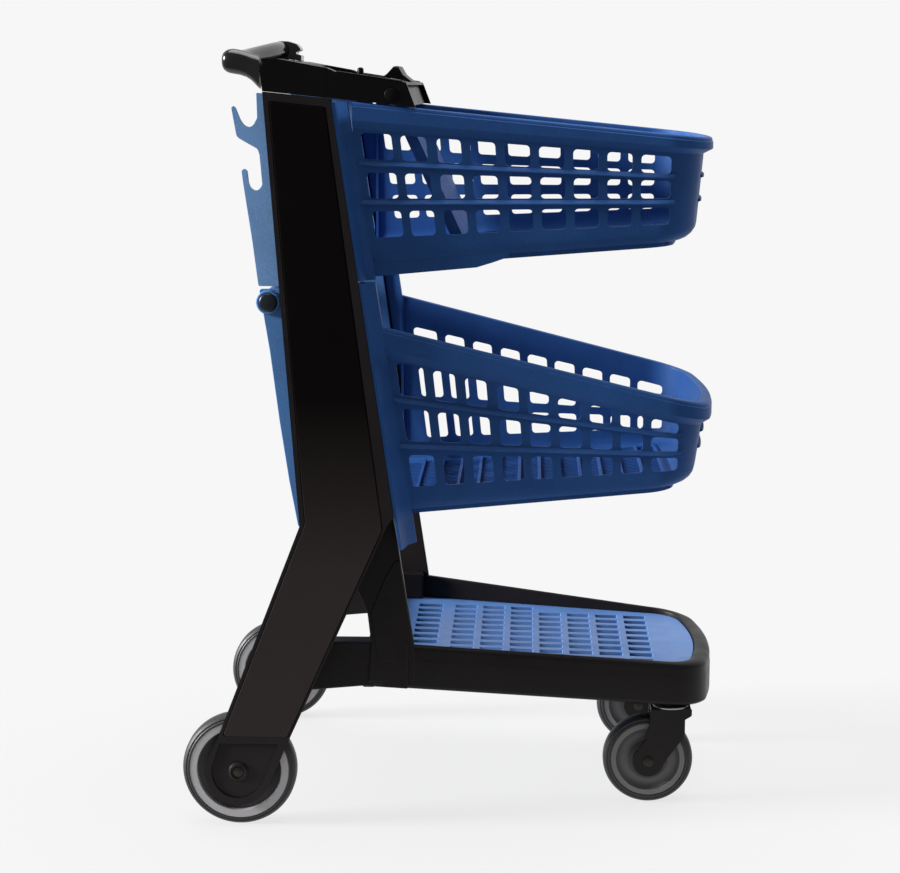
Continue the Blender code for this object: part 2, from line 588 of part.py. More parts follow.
def make_gates():
    upper = make_gate("upper_gate", UPPER_PIVOT, UPPER_GATE_TILT, 0.0080, 0.0043, True, 0.2230, 0.1770)
    add_flanges(upper, UPPER_PIVOT, UPPER_GATE_TILT, 0.2230, 0.1770)
    lower = make_gate("lower_gate", LOWER_PIVOT, LOWER_GATE_TILT, 0.0130, 0.0093, False, 0.3000, 0.1830)
    cut_lattice(lower, LOWER_PIVOT, LOWER_GATE_TILT, 0.3000, 0.1830)
    upper = (UPPER_PIVOT[0], 0.0, UPPER_PIVOT[1])
    lower = (LOWER_PIVOT[0], 0.0, LOWER_PIVOT[1])
    turned("upper_gate_rod", [(0.0040, -0.2120), (0.0040, 0.2120)], upper, "Y", (STEEL, 0.35, 1.0), 16)
    turned("lower_gate_rod", [(0.0090, -0.2065), (0.0090, 0.2065)], lower, "Y", (STEEL, 0.35, 1.0), 16)
    for name, side in SIDES.items():
        cap = [(0.0088, side * (CONSOLE_HALF + GAP)), (0.0088, side * (CONSOLE_HALF + 0.0018))]
        turned("upper_rod_cap_" + name, cap, upper, "Y", (BLACK, 0.35), 20)


# ---- console ------------------------------------------------------------------------------------
def make_console():
    """Hollow cover across the posts' tops, with a shallow tray in its upper face."""
    floor, top, wall = CONSOLE_FLOOR, CONSOLE_TOP, CONSOLE_WALL
    outline = [(-0.2412, on(floor, -0.2412)), (-0.0485, on(floor, -0.0485)), (-0.0600, on(top, -0.0600)),
               (-0.2240, on(top, -0.2240)), (-0.2330, 0.9930), (-0.2405, 0.9870), (-0.2440, 0.9780)]
    console = prism("console", outline, -CONSOLE_HALF, CONSOLE_HALF, (BLACK, 0.35))
    hollow = [(-0.2370, 0.90), (-0.0525, 0.90), (-0.0525, on(floor, -0.0525)),
              (-0.0640, on(top, -0.0640) - wall - 0.001), (-0.0900, on(top, -0.0900) - wall - 0.001),
              (-0.0960, on(top, -0.0960) - 0.0130), (-0.2010, on(top, -0.2010) - 0.0130),
              (-0.2070, on(top, -0.2070) - wall - 0.001), (-0.2370, 0.9790)]
    inside = CONSOLE_HALF - wall
    combine(console, prism("console_hollow", hollow, -inside, inside, None), "DIFFERENCE")
    tray = [(TRAY_REAR, on(top, TRAY_REAR) - TRAY_DEPTH), (TRAY_FRONT, on(top, TRAY_FRONT) - TRAY_DEPTH),
            (TRAY_FRONT + 0.0100, 1.00), (TRAY_REAR - 0.0020, 1.02)]
    combine(console, prism("console_tray", tray, -TRAY_HALF, TRAY_HALF, None), "DIFFERENCE")
    bore = bmesh.new()
    add_turned(bore, [(0.0043, -0.23), (0.0043, 0.23)], (UPPER_PIVOT[0], 0.0, UPPER_PIVOT[1]), "Y", 16)
    combine(console, to_object("console_bore", bore, None), "DIFFERENCE")


def make_console_fittings():
    """The spring clip for a shopping list on the front beam, and a small peg beside it."""
    top, lift = CONSOLE_TOP, CLIP_LIFT
    clip = [(-0.0995, on(top, -0.0995) + lift), (-0.0625, on(top, -0.0625) + lift), (-0.0640, 0.9668),
            (-0.0737, 0.9735), (-0.0804, 0.9848), (-0.0858, 0.9841), (-0.0950, 0.9745)]
    prism("list_clip", clip, -CLIP_HALF, CLIP_HALF, (BLACK, 0.30))
    foot = on(top, PEG[0]) - TRAY_DEPTH + 0.0013
    peg = [(0.0045, foot), (0.0045, foot + 0.0120), (0.0030, foot + 0.0135)]
    turned("tray_peg", peg, (*PEG, 0.0), "Z", (BLACK, 0.30), 12)


# ---- handle -------------------------------------------------------------------------------------
def bar_centre(t):
    """Middle line of the grip, from its left end at t = -1 over its raised middle to t = 1."""
    rise = 0.5 + 0.5 * math.cos(math.pi * t)
    x = HANDLE_END[0] + (HANDLE_MID[0] - HANDLE_END[0]) * rise
    z = HANDLE_END[2] + (HANDLE_MID[2] - HANDLE_END[2]) * rise
    return Vector((x, -t * (HANDLE_END[1] - 0.016), z))


def add_bar(bm, first, last, radius, steps, sides=12):
    rings = []
    for i in range(steps + 1):
        t = first + (last - first) * i / steps
        centre = bar_centre(t)
        along = (bar_centre(t + 0.01) - bar_centre(t - 0.01)).normalized()
        across = along.cross(Vector((0, 0, 1))).normalized()
        up = across.cross(along)
        rings.append([centre + radius * (math.cos(a) * across + math.sin(a) * up)
                      for a in (2 * math.pi * k / sides for k in range(sides))])
    add_loft(bm, rings)


def make_handle():
    arm = [(-0.2928, 0.0060, 0.0075, 0.9895), (-0.2885, 0.0105, 0.0125, 0.9894),
           (-0.2790, ARM_WIDE, 0.0157, 0.9893), (-0.2640, ARM_WIDE, 0.0160, 0.9860),
           (-0.2500, ARM_WIDE, 0.0185, 0.9790), (-0.2447, ARM_WIDE, 0.0200, 0.9745)]
    for name, side in SIDES.items():
        y = side * (HANDLE_END[1] - 0.001)
        bm = bmesh.new()
        add_loft(bm, [[(x, y + wide * math.cos(a), z + tall * math.sin(a))
                       for a in (2 * math.pi * k / 12 for k in range(12))] for x, wide, tall, z in arm])
        to_object("handle_end_" + name, bm, (BLACK, 0.22), smooth=True)
    room = (HANDLE_BLOCK + 0.0018) / (HANDLE_END[1] - 0.016)
    for name, first, last in (("left", -1.0, -room), ("right", room, 1.0)):
        bar = bmesh.new()
        add_bar(bar, first, last, HANDLE_RADIUS, 8)
        to_object("handle_grip_" + name, bar, (BLACK, 0.22), smooth=True)
    top = (CONSOLE_TOP[0] + 0.0006, CONSOLE_TOP[1])
    block = [(-0.2530, 1.0040), (-0.2500, 1.0120), (-0.2430, 1.0178), (-0.2300, 1.0175), (-0.2185, 1.0140),
             (-0.2120, 1.0060), (-0.2190, 1.0035), (-0.2190, 1.0005), (-0.2120, 0.9990),
             (-0.2125, on(top, -0.2125)), (-0.2240, on(top, -0.2240)), (-0.2360, 0.9945), (-0.2480, 0.9955)]
    prism("handle_centre", block, -HANDLE_BLOCK, HANDLE_BLOCK, (BLACK, 0.30))


# ---- wheels -------------------------------------------------------------------------------------
def tyre_profile(radius, half, seat):
    return [(seat, -half), (radius - 0.006, -half), (radius, -half * 0.45),
            (radius, half * 0.45), (radius - 0.006, half), (seat, half)]


def hub_profile(seat, half, bore):
    web = 0.004
    rim, face = seat - 0.012, half - 0.0005
    return [(bore, -face), (bore + 0.010, -web), (rim, -web), (rim, -face), (seat - GAP, -face),
            (seat - GAP, face), (rim, face), (rim, web), (bore + 0.010, web), (bore, face)]


def make_wheel(prefix, name, hub, radius, half, seat, bush, axle):
    """Tyre, hub and plain bush on one axle, all centred on the wheel's axis."""
    turned(prefix + "_tyre_" + name, tyre_profile(radius, half, seat), hub, "Y", (RUBBER, 0.60), 28, True)
    turned(prefix + "_hub_" + name, hub_profile(seat, half, bush + GAP), hub, "Y", (GREY, 0.45), 28, True)
    reach = half - 0.0012
    sleeve = [(axle + GAP, -reach), (bush, -reach), (bush, reach), (axle + GAP, reach)]
    turned(prefix + "_bush_" + name, sleeve, hub, "Y", (STEEL, 0.40, 1.0), 12, True)


def make_rear_wheel(name, side):
    hub = (REAR_AXLE_X, side * REAR_TRACK, REAR_RADIUS)
    make_wheel("rear", name, hub, REAR_RADIUS, REAR_WIDTH / 2, 0.0640, 0.0085, 0.0052)
    outside = outer_y(REAR_RADIUS) - REAR_TRACK - 0.0030
    inside = LEG_INNER_Y - REAR_TRACK
    bolt = [(0.0050, side * (inside - 0.0095)), (0.0050, side * (outside + 0.0006)),
            (0.0100, side * (outside + 0.0006)), (0.0100, side * (outside + 0.0026)),
            (0.0072, side * (outside + 0.0036))]
    turned("rear_axle_bolt_" + name, bolt, hub, "Y", (BLACK, 0.35, 0.6), 20)
    nut = [(0.0061, side * (inside - 0.0003)), (0.0100, side * (inside - 0.0003)),
           (0.0100, side * (inside - 0.0078)), (0.0061, side * (inside - 0.0078))]
    turned("rear_axle_nut_" + name, nut, hub, "Y", (STEEL, 0.35, 1.0), 6, True)


FORK_SIDE = [(0.2620, 0.1330), (0.2620, 0.1120), (0.2490, 0.0780),
             *arc((CASTER_AXLE_X, CASTER_RADIUS), 0.0210, 165.0, 350.0, 8),
             (0.3035, 0.0880), (0.3090, 0.0980), (0.3090, 0.1180), (0.3180, 0.1230), (0.3180, 0.1330)]


def make_caster(name, side):
    y = side * CASTER_Y
    swivel = (SWIVEL_X, y, 0.0)
    half = CASTER_WIDTH / 2
    reach = half + CHEEK
    fork = prism("caster_fork_" + name, FORK_SIDE, y - reach, y + reach, (BLACK, 0.40), swivel)
    gap = half + 0.0025
    tunnel = bmesh.new()
    add_prism(tunnel, box_outline(0.18, 0.34, 0.02, CASTER_RADIUS * 2 + 0.0040), y - gap, y + gap)
    combine(fork, to_object("fork_tunnel_" + name, tunnel, None), "DIFFERENCE")
    hub = (CASTER_AXLE_X, y, CASTER_RADIUS)
    bore = bmesh.new()
    add_turned(bore, [(0.0043, -0.05), (0.0043, 0.05)], hub, "Y", 12)
    combine(fork, to_object("fork_bore_" + name, bore, None), "DIFFERENCE")
    hole = bmesh.new()
    add_turned(hole, [(0.0063, 0.10), (0.0063, 0.15)], swivel, "Z", 12)
    combine(fork, to_object("fork_eye_" + name, hole, None), "DIFFERENCE")
    make_wheel("caster", name, hub, CASTER_RADIUS, half, 0.0505, 0.0070, 0.0042)
    axle = [(0.0070, -reach - 0.0025), (0.0070, -reach - GAP), (0.0040, -reach - GAP), (0.0040, reach + GAP),
            (0.0070, reach + GAP), (0.0070, reach + 0.0025)]
    turned("caster_axle_" + name, axle, hub, "Y", (BLACK, 0.35, 0.6), 16)
    ceiling = on(BASE_FOOT, SWIVEL_X) - 0.0022
    collar = [(0.0065, 0.1334), (0.0240, 0.1334), (0.0240, ceiling - 0.0008), (0.0065, ceiling - 0.0008)]
    turned("caster_bearing_" + name, collar, swivel, "Z", (STEEL, 0.40, 1.0), 16, True)
    seat = CASTER_RADIUS * 2 + 0.0040 - GAP
    pin = [(0.0100, seat - 0.0030), (0.0100, seat), (0.0060, seat), (0.0060, 0.1620)]
    turned("caster_stem_" + name, pin, swivel, "Z", (STEEL, 0.35, 1.0), 16)


# ---- the whole trolley ----------------------------------------------------------------------------
def main():
    for obj in list(bpy.data.objects):
        bpy.data.objects.remove(obj, do_unlink=True)
    make_base_frame()
    make_platform_grille()
    make_basket("upper_basket", UPPER)
    make_basket("lower_basket", LOWER)
    make_gates()
    make_console()
    make_console_fittings()
    make_handle()
    for name, side in SIDES.items():
        make_side_frame(name, side)
        make_side_cover(name, side)
        make_hook_plates(name, side)
        make_rear_wheel(name, side)
        make_caster(name, side)


main()
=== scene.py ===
"""Looks of the rolling basket trolley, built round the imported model.

Metres, +Z up, +X towards the trolley's front, +Y to its left, floor at Z = 0.
Every solid of the frame has a fine piece here, in the same place, riding on the same body.
"""

import json
import math

import bmesh
import bpy
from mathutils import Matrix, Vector


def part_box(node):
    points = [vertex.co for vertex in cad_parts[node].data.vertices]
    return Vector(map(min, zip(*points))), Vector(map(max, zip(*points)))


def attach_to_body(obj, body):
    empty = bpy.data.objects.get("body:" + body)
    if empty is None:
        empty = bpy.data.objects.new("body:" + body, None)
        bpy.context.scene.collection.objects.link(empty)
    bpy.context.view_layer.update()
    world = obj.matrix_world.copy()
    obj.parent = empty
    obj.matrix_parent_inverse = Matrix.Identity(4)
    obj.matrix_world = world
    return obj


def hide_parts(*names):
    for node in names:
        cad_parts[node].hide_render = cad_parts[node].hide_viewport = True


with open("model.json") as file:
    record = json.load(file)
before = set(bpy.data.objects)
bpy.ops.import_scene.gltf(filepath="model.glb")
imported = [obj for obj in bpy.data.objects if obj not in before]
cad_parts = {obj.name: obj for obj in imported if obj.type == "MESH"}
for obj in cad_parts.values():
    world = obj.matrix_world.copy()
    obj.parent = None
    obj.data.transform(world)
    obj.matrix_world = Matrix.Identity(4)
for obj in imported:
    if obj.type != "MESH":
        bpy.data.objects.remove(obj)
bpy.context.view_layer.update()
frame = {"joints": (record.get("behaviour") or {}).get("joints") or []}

SIDES = {"left": 1.0, "right": -1.0}
GAP = 0.0003                 # clearance between touching solids


# ---- places taken from the frame ---------------------------------------------------------------
def joint_place(name):
    """Point on a joint's axis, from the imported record."""
    return Vector([j for j in frame["joints"] if j["name"] == name][0]["pos_m"])


REAR_HUB = joint_place("rear_wheel_left_spin")
CASTER_HUB = joint_place("caster_wheel_left_spin")
SWIVEL = joint_place("caster_left_swivel")
UPPER_PIVOT = joint_place("upper_gate_lift")
LOWER_PIVOT = joint_place("lower_gate_lift")
REAR_RADIUS = REAR_HUB.z
CASTER_RADIUS = CASTER_HUB.z
CONSOLE_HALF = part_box("console")[1].y
HANDLE_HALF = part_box("handle_centre")[1].y

# ---- shape of the moulded parts: a line is (value at X = 0, slope) ------------------------------
LEG_FOOT_Y = 0.258           # outer face of the side frames at the axle's height
LEAN = 0.050
LEG_INNER_Y = 0.211
KNEE_Z = 0.405
POST_INNER_TOP_Y = 0.195
COVER_DEPTH = 0.0030
COVER_INSET = 0.0075
CONSOLE_FLOOR = (0.9275, -0.1015)
CONSOLE_TOP = (0.9520, -0.1810)
TAPER = (0.2074, -0.0643)    # half-width of the basket rims
WALL = 0.0036
BASE_TAPER = (0.1865, -0.1520)
BASE_RIM = (0.2276, -0.1014)
BASE_FOOT = (0.1680, -0.1000)
BASE_FRONT = 0.3515
DECK_TOP = (0.1985, -0.0275)
BULGE = 0.010                # how far the plan's front edge bows forward
POST_REAR = ((-0.2410, 0.950), (-0.1974, 0.400))
POST_FRONT = ((-0.1555, 0.941), (-0.0762, 0.412))
LEG_REAR_SLOPE = 0.390
LEG_FRONT = ((-0.0842, 0.402), (-0.2115, 0.122))
FORK_END_RADIUS = 0.044
HANDLE_END = (-0.2775, 0.2000, 0.9900)
HANDLE_MID = (-0.2400, 0.0, 1.0050)
HANDLE_RADIUS = 0.0125


# ---- materials --------------------------------------------------------------------------------
def link(tree, source, target):
    tree.links.new(source, target)


def noise(tree, scale, detail=3.0, stretch=(1.0, 1.0, 1.0)):
    """Noise over the object's own metres, which moves with the piece."""
    place = tree.nodes.new("ShaderNodeTexCoord")
    mapping = tree.nodes.new("ShaderNodeMapping")
    mapping.inputs["Scale"].default_value = stretch
    pattern = tree.nodes.new("ShaderNodeTexNoise")
    pattern.inputs["Scale"].default_value = scale
    pattern.inputs["Detail"].default_value = detail
    link(tree, place.outputs["Object"], mapping.inputs["Vector"])
    link(tree, mapping.outputs["Vector"], pattern.inputs["Vector"])
    return pattern.outputs["Fac"]


def spread(tree, value, low, high, start=0.3, end=0.7):
    """Maps a pattern's middle range to a range of values."""
    remap = tree.nodes.new("ShaderNodeMapRange")
    remap.inputs["From Min"].default_value = start
    remap.inputs["From Max"].default_value = end
    remap.inputs["To Min"].default_value = low
    remap.inputs["To Max"].default_value = high
    link(tree, value, remap.inputs["Value"])
    return remap.outputs["Result"]


def blend_colours(tree, factor, first, second):
    mix = tree.nodes.new("ShaderNodeMix")
    mix.data_type = "RGBA"
    link(tree, factor, mix.inputs[0])
    for socket, colour in ((mix.inputs[6], first), (mix.inputs[7], second)):
        if isinstance(colour, tuple):
            socket.default_value = (*colour, 1.0)
        else:
            link(tree, colour, socket)
    return mix.outputs[2]


def finish(name, colour, roughness, grain=0.0016, relief=0.00006, mottle=0.10, scuffs=0.25, speckle=0.0,
           metallic=0.0, specular=0.5, coat=0.0, brushed=False, low=None):
    """Moulded or metal surface: soft mottling, fine grain, uneven gloss and light scuffs; given low, its lower part
    turns to that lighter colour, a painted floor-bounce light.
    """
    mat = bpy.data.materials.new(name)
    mat.use_nodes = True
    tree = mat.node_tree
    shader = tree.nodes["Principled BSDF"]
    shader.inputs["Metallic"].default_value = metallic
    shader.inputs["Specular IOR Level"].default_value = specular
    shader.inputs["Coat Weight"].default_value = coat
    shader.inputs["Coat Roughness"].default_value = 0.12
    dark = tuple(c * (1.0 - mottle) for c in colour)
    light = tuple(min(1.0, c * (1.0 + mottle)) for c in colour)
    base = blend_colours(tree, spread(tree, noise(tree, 14.0, 5.0), 0.0, 1.0), dark, light)
    # low paints the surface in a lighter colour below 0.34 m, blending back to the base colour by 0.56 m: painted light
    # standing in for the bright floor's bounce on the lower part.
    if low:
        place = tree.nodes.new("ShaderNodeNewGeometry")
        height = tree.nodes.new("ShaderNodeSeparateXYZ")
        link(tree, place.outputs["Position"], height.inputs[0])
        base = blend_colours(tree, spread(tree, height.outputs["Z"], 0.0, 1.0, 0.34, 0.56), low, base)
    fine = noise(tree, 1.0 / grain, 2.0)
    if speckle:
        bright = tuple(min(1.0, c * (1.0 + speckle) + 0.004 * speckle) for c in colour)
        base = blend_colours(tree, spread(tree, fine, 0.0, 0.55, 0.45, 0.75), base, bright)
    scratch = spread(tree, noise(tree, 60.0, 6.0, (0.6, 1.0, 9.0)), 0.0, 1.0, 0.62, 0.74)
    worn = tuple(min(1.0, c * 1.5 + 0.015) for c in colour)
    amount = tree.nodes.new("ShaderNodeMath")
    amount.operation = "MULTIPLY"
    amount.inputs[1].default_value = scuffs
    link(tree, scratch, amount.inputs[0])
    link(tree, blend_colours(tree, amount.outputs[0], base, worn), shader.inputs["Base Color"])

    uneven = spread(tree, noise(tree, 35.0, 4.0), roughness - 0.05, roughness + 0.06)
    total = tree.nodes.new("ShaderNodeMath")
    total.operation = "MULTIPLY_ADD"
    total.inputs[1].default_value = 0.5
    link(tree, amount.outputs[0], total.inputs[0])
    link(tree, uneven, total.inputs[2])
    link(tree, total.outputs[0], shader.inputs["Roughness"])
    bump = tree.nodes.new("ShaderNodeBump")
    bump.inputs["Strength"].default_value = 1.0
    bump.inputs["Distance"].default_value = relief
    lines = noise(tree, 220.0, 2.0, (1.0, 12.0, 1.0)) if brushed else fine
    link(tree, lines, bump.inputs["Height"])
    link(tree, bump.outputs["Normal"], shader.inputs["Normal"])
    return mat


BLUE = finish("blue_moulding", (0.0225, 0.083, 0.270), 0.50, relief=0.00014, speckle=0.35, specular=0.12)
# The hinge and hook plates are the same blue plastic; these lighter copies are painted light, standing in for the
# grazing light from the rear left that falls on them.
BLUE_PLATE_LIT = finish("blue_plate_painted_light", (0.075, 0.200, 0.460), 0.50, grain=0.0020, relief=0.00016, speckle=0.45,
                    specular=0.20)
BLUE_HOOK_LIT = finish("blue_hook_plate_painted_light", (0.165, 0.320, 0.600), 0.50, grain=0.0020, relief=0.00016, speckle=0.45,
                   specular=0.20)
# The platform is the same blue plastic; this lighter copy is painted light, standing in for the top light and sheen on
# its upward face.
BLUE_DECK_LIT = finish("blue_deck_painted_light", (0.080, 0.180, 0.420), 0.40, grain=0.0018, relief=0.00014, speckle=0.35,
                   specular=0.35)
BLACK = finish("black_frame", (0.0120, 0.0098, 0.0102), 0.40, relief=0.00008, scuffs=0.12, specular=0.16)
# The side covers' low colour paints their lower part lighter: painted floor-bounce light, not a colour of the cover.
COVER_PAINTED_BOUNCE = finish("black_cover_painted_bounce", (0.0028, 0.0018, 0.0018), 0.55, relief=0.00010, specular=0.04, scuffs=0.06,
               low=(0.0300, 0.0240, 0.0240))
CONSOLE = finish("black_console", (0.0050, 0.0042, 0.0042), 0.32, relief=0.00003, scuffs=0.06, specular=0.10)
HANDLE = finish("black_handle", (0.0060, 0.0055, 0.0060), 0.16, relief=0.00002, scuffs=0.35, coat=0.3)
PLUG = finish("dark_plug", (0.0010, 0.0080, 0.0140), 0.35)
RUBBER = finish("tyre_rubber", (0.0130, 0.0125, 0.0150), 0.48, grain=0.0012, relief=0.00010, scuffs=0.5)
RING_GREY = finish("ring_grey", (0.380, 0.370, 0.382), 0.42, mottle=0.06, relief=0.00005)
RING_DARK = finish("ring_dark_grey", (0.145, 0.142, 0.146), 0.42, mottle=0.06, relief=0.00005)
DISC_GREY = finish("disc_grey", (0.100, 0.095, 0.100), 0.45, mottle=0.10)
DISC_DARK = finish("disc_black", (0.014, 0.0135, 0.0145), 0.40)
BOLT = finish("dark_bolt", (0.030, 0.024, 0.019), 0.38, metallic=0.7, mottle=0.20)
STEEL = finish("zinc_steel", (0.420, 0.420, 0.430), 0.34, metallic=1.0, mottle=0.08, brushed=True)


# ---- mesh helpers -----------------------------------------------------------------------------
def on(line, x):
    """Value at x of a line given as (value at zero, slope)."""
    return line[0] + line[1] * x


def raised(line, height):
    return line[0] + height, line[1]


def spaced(first, last, steps):
    return [first + (last - first) * i / steps for i in range(steps + 1)]


def smoothstep(t):
    t = min(1.0, max(0.0, t))
    return t * t * (3.0 - 2.0 * t)


def arc(centre, radius, start, end, steps):
    """Points on an arc in a plane, with its angles in degrees."""
    angles = [math.radians(a) for a in spaced(start, end, steps)]
    return [(centre[0] + radius * math.cos(a), centre[1] + radius * math.sin(a)) for a in angles]


def rounded(corners, radius, steps=4):
    """Outline whose corners are arcs of one radius, or of one radius for each corner."""
    radii = radius if isinstance(radius, list) else [radius] * len(corners)
    points = []
    for i, (corner, r) in enumerate(zip(corners, radii)):
        here = Vector(corner)
        back = Vector(corners[i - 1]) - here
        ahead = Vector(corners[(i + 1) % len(corners)]) - here
        half = back.angle(ahead) / 2
        if r <= 0.0 or half > math.radians(88.0):
            points.append(tuple(here))
            continue
        reach = min(r / math.tan(half), 0.48 * back.length, 0.48 * ahead.length)
        middle = (back.normalized() + ahead.normalized()).normalized() * (reach / math.cos(half))
        first, last = back.normalized() * reach - middle, ahead.normalized() * reach - middle
        turn = first.angle(last)
        for k in range(steps + 1):
            t = k / steps
            arm = (first * math.sin((1 - t) * turn) + last * math.sin(t * turn)) / math.sin(turn)
            points.append(tuple(here + middle + arm))
    return points


def add_loft(bm, rings, closed=False):
    """Solid through a stack of rings of equal length, capped, or joined end to end if closed."""
    rows = [[bm.verts.new(p) for p in ring] for ring in rings]
    count = len(rows[0])
    pairs = list(zip(rows, rows[1:]))
    if closed:
        pairs.append((rows[-1], rows[0]))
    for low, high in pairs:
        for i in range(count):
            j = (i + 1) % count
            bm.faces.new((low[i], low[j], high[j], high[i]))
    if not closed:
        bm.faces.new(rows[0][::-1])
        bm.faces.new(rows[-1])


def add_prism(bm, outline, y_from, y_to):
    """Extrudes an (x, z) outline between two Y values, or functions that give Y at (x, z)."""
    first = y_from if callable(y_from) else lambda x, z: y_from
    last = y_to if callable(y_to) else lambda x, z: y_to
    add_loft(bm, [[(x, f(x, z), z) for x, z in outline] for f in (first, last)])


def add_turned(bm, profile, centre, axis, steps=72, closed=True):
    """Turns a profile of (radius, distance along the axis) about an axis of direction Y or Z."""
    rows = []
    for i in range(steps):
        angle = 2 * math.pi * i / steps
        a, b = math.cos(angle), math.sin(angle)
        row = []
        for radius, along in profile:
            offset = (a * radius, along, b * radius) if axis == "Y" else (a * radius, b * radius, along)
            row.append(bm.verts.new(Vector(centre) + Vector(offset)))
        rows.append(row)
    for i in range(steps):
        here, there = rows[i], rows[(i + 1) % steps]
        for k in range(len(profile) if closed else len(profile) - 1):
            m = (k + 1) % len(profile)
            bm.faces.new((here[k], here[m], there[m], there[k]))
    if not closed:
        bm.faces.new([row[0] for row in rows])
        bm.faces.new([row[-1] for row in rows][::-1])


def solid(name, bm):
    bmesh.ops.remove_doubles(bm, verts=bm.verts, dist=1e-6)
    bmesh.ops.recalc_face_normals(bm, faces=bm.faces)
    mesh = bpy.data.meshes.new(name)
    bm.to_mesh(mesh)
    bm.free()
    obj = bpy.data.objects.new(name, mesh)
    bpy.context.scene.collection.objects.link(obj)
    return obj


def prism(name, outline, y_from, y_to):
    bm = bmesh.new()
    add_prism(bm, outline, y_from, y_to)
    return solid(name, bm)


def cut(obj, cutter):
    """Subtracts the cutter with the exact solver, and removes it."""
    modifier = obj.modifiers.new("cut", "BOOLEAN")
    modifier.operation = "DIFFERENCE"
    modifier.solver = "EXACT"
    modifier.object = cutter
    apply_modifiers(obj)
    bpy.data.objects.remove(cutter, do_unlink=True)


def apply_modifiers(obj):
    graph = bpy.context.evaluated_depsgraph_get()
    mesh = bpy.data.meshes.new_from_object(obj.evaluated_get(graph), preserve_all_data_layers=True,
                                           depsgraph=graph)
    obj.modifiers.clear()
    obj.data = mesh


def soften(obj, width, segments=2, angle=32.0):
    """Rounds the sharp edges and keeps the large faces flat."""
    bevel = obj.modifiers.new("edges", "BEVEL")
    bevel.width = width
    bevel.segments = segments
    bevel.limit_method = "ANGLE"
    bevel.angle_limit = math.radians(angle)
    bevel.miter_outer = "MITER_ARC"
    apply_modifiers(obj)
    obj.data.shade_smooth()
    normals = obj.modifiers.new("normals", "WEIGHTED_NORMAL")
    normals.mode = "FACE_AREA"
    normals.weight = 60
    apply_modifiers(obj)


def join(obj, others):
    """Adds the meshes of other objects to one object, as bodies of the same moulding."""
    bm = bmesh.new()
    bm.from_mesh(obj.data)
    for other in others:
        bm.from_mesh(other.data)
        bpy.data.objects.remove(other, do_unlink=True)
    bm.to_mesh(obj.data)
    bm.free()


def attach(obj, parts):
    """Joins smooth-shaded details to a moulding."""
    for part in parts:
        part.data.shade_smooth()
        part.data.set_sharp_from_angle(angle=math.radians(30.0))
    join(obj, parts)


def dress(obj, mat, slot, body, *nodes, smooth=True):
    """Gives a piece its material, its body and the solids it stands for."""
    if smooth:
        obj.data.shade_smooth()
        obj.data.set_sharp_from_angle(angle=math.radians(38.0))
    obj.data.materials.clear()
    obj.data.materials.append(mat)
    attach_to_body(obj, body)
    if nodes:
        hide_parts(*nodes)
    return obj


def turned(name, profile, centre, axis, mat, slot, body, *nodes, steps=72):
    bm = bmesh.new()
    add_turned(bm, profile, centre, axis, steps)
    return dress(solid(name, bm), mat, slot, body, *nodes)


def mirrored(point, side):
    return Vector((point.x, side * point.y, point.z))


# ---- plans and heights --------------------------------------------------------------------------
def plan(line, grow, rear_x, front_x, corner, steps=10):
    """Tapered plan outline with round front corners and a bowed front edge."""
    edge = front_x - BULGE - corner
    side_w = on(line, edge) + grow
    half = [(x, on(line, x) + grow) for x in spaced(rear_x, edge, 4)]
    half += arc((edge, side_w - corner), corner, 90 - 90 / steps, 6, steps - 1)
    x0, y0 = half[-1]
    half += [(front_x - (front_x - x0) * (k / 5) ** 2, y0 * k / 5) for k in (4, 3, 2, 1)]
    return half + [(front_x, 0.0)] + [(x, -y) for x, y in reversed(half)]


def ring(outline, height):
    """Lifts a plan outline to a height given as a line in x."""
    return [(x, y, on(height, x)) for x, y in outline]


def outer_y(z):
    return LEG_FOOT_Y - LEAN * (z - REAR_RADIUS)


def inner_y(z):
    rise = (POST_INNER_TOP_Y - LEG_INNER_Y) / (0.950 - KNEE_Z)
    return LEG_INNER_Y + rise * max(0.0, z - KNEE_Z)


# ---- side frames and covers ------------------------------------------------------------------
def side_outline():
    end = arc((REAR_HUB.x, REAR_HUB.z), FORK_END_RADIUS, 168.0, 335.0, 32)
    top = [(x, on(CONSOLE_FLOOR, x) - 2 * GAP) for x in (POST_REAR[0][0], POST_FRONT[0][0])]
    knee_front = rounded([LEG_FRONT[1], LEG_FRONT[0], POST_FRONT[1], top[1]], [0.0, 0.020, 0.012, 0.0])
    knee_rear = rounded([top[0], POST_REAR[1], (-0.3072, 0.118)], [0.0, 0.014, 0.0])
    return knee_front + knee_rear + end


def inset_line(a, b, distance):
    along = (Vector(b) - Vector(a)).normalized()
    shift = Vector((-along.y, along.x)) * distance
    return Vector(a) + shift, Vector(b) + shift


def cross(first, second):
    """Where two lines of the plane meet."""
    (p, q), (r, s) = first, second
    d, e = q - p, s - r
    t = ((r.x - p.x) * e.y - (r.y - p.y) * e.x) / (d.x * e.y - d.y * e.x)
    return tuple(p + d * t)


def cover_outline(inset, radius):
    """Outline of the side cover, which follows the post and the leg down to the fork."""
    top_left, top_right, foot = (POST_REAR[0][0], 0.9495), (POST_FRONT[0][0], 0.9405), 0.1225
    foot_left = (POST_REAR[1][0] - LEG_REAR_SLOPE * (POST_REAR[1][1] - foot), foot)
    corners = [top_left, POST_REAR[1], foot_left, LEG_FRONT[1], LEG_FRONT[0], top_right]
    insets = [inset, inset - 0.002, 0.0, inset - 0.004, inset, inset + 0.002]
    lines = [inset_line(corners[i], corners[(i + 1) % 6], insets[i]) for i in range(6)]
    points = [cross(lines[i - 1], lines[i]) for i in range(6)]
    return rounded(points, [radius, 0.010, radius, radius, 0.016, radius])


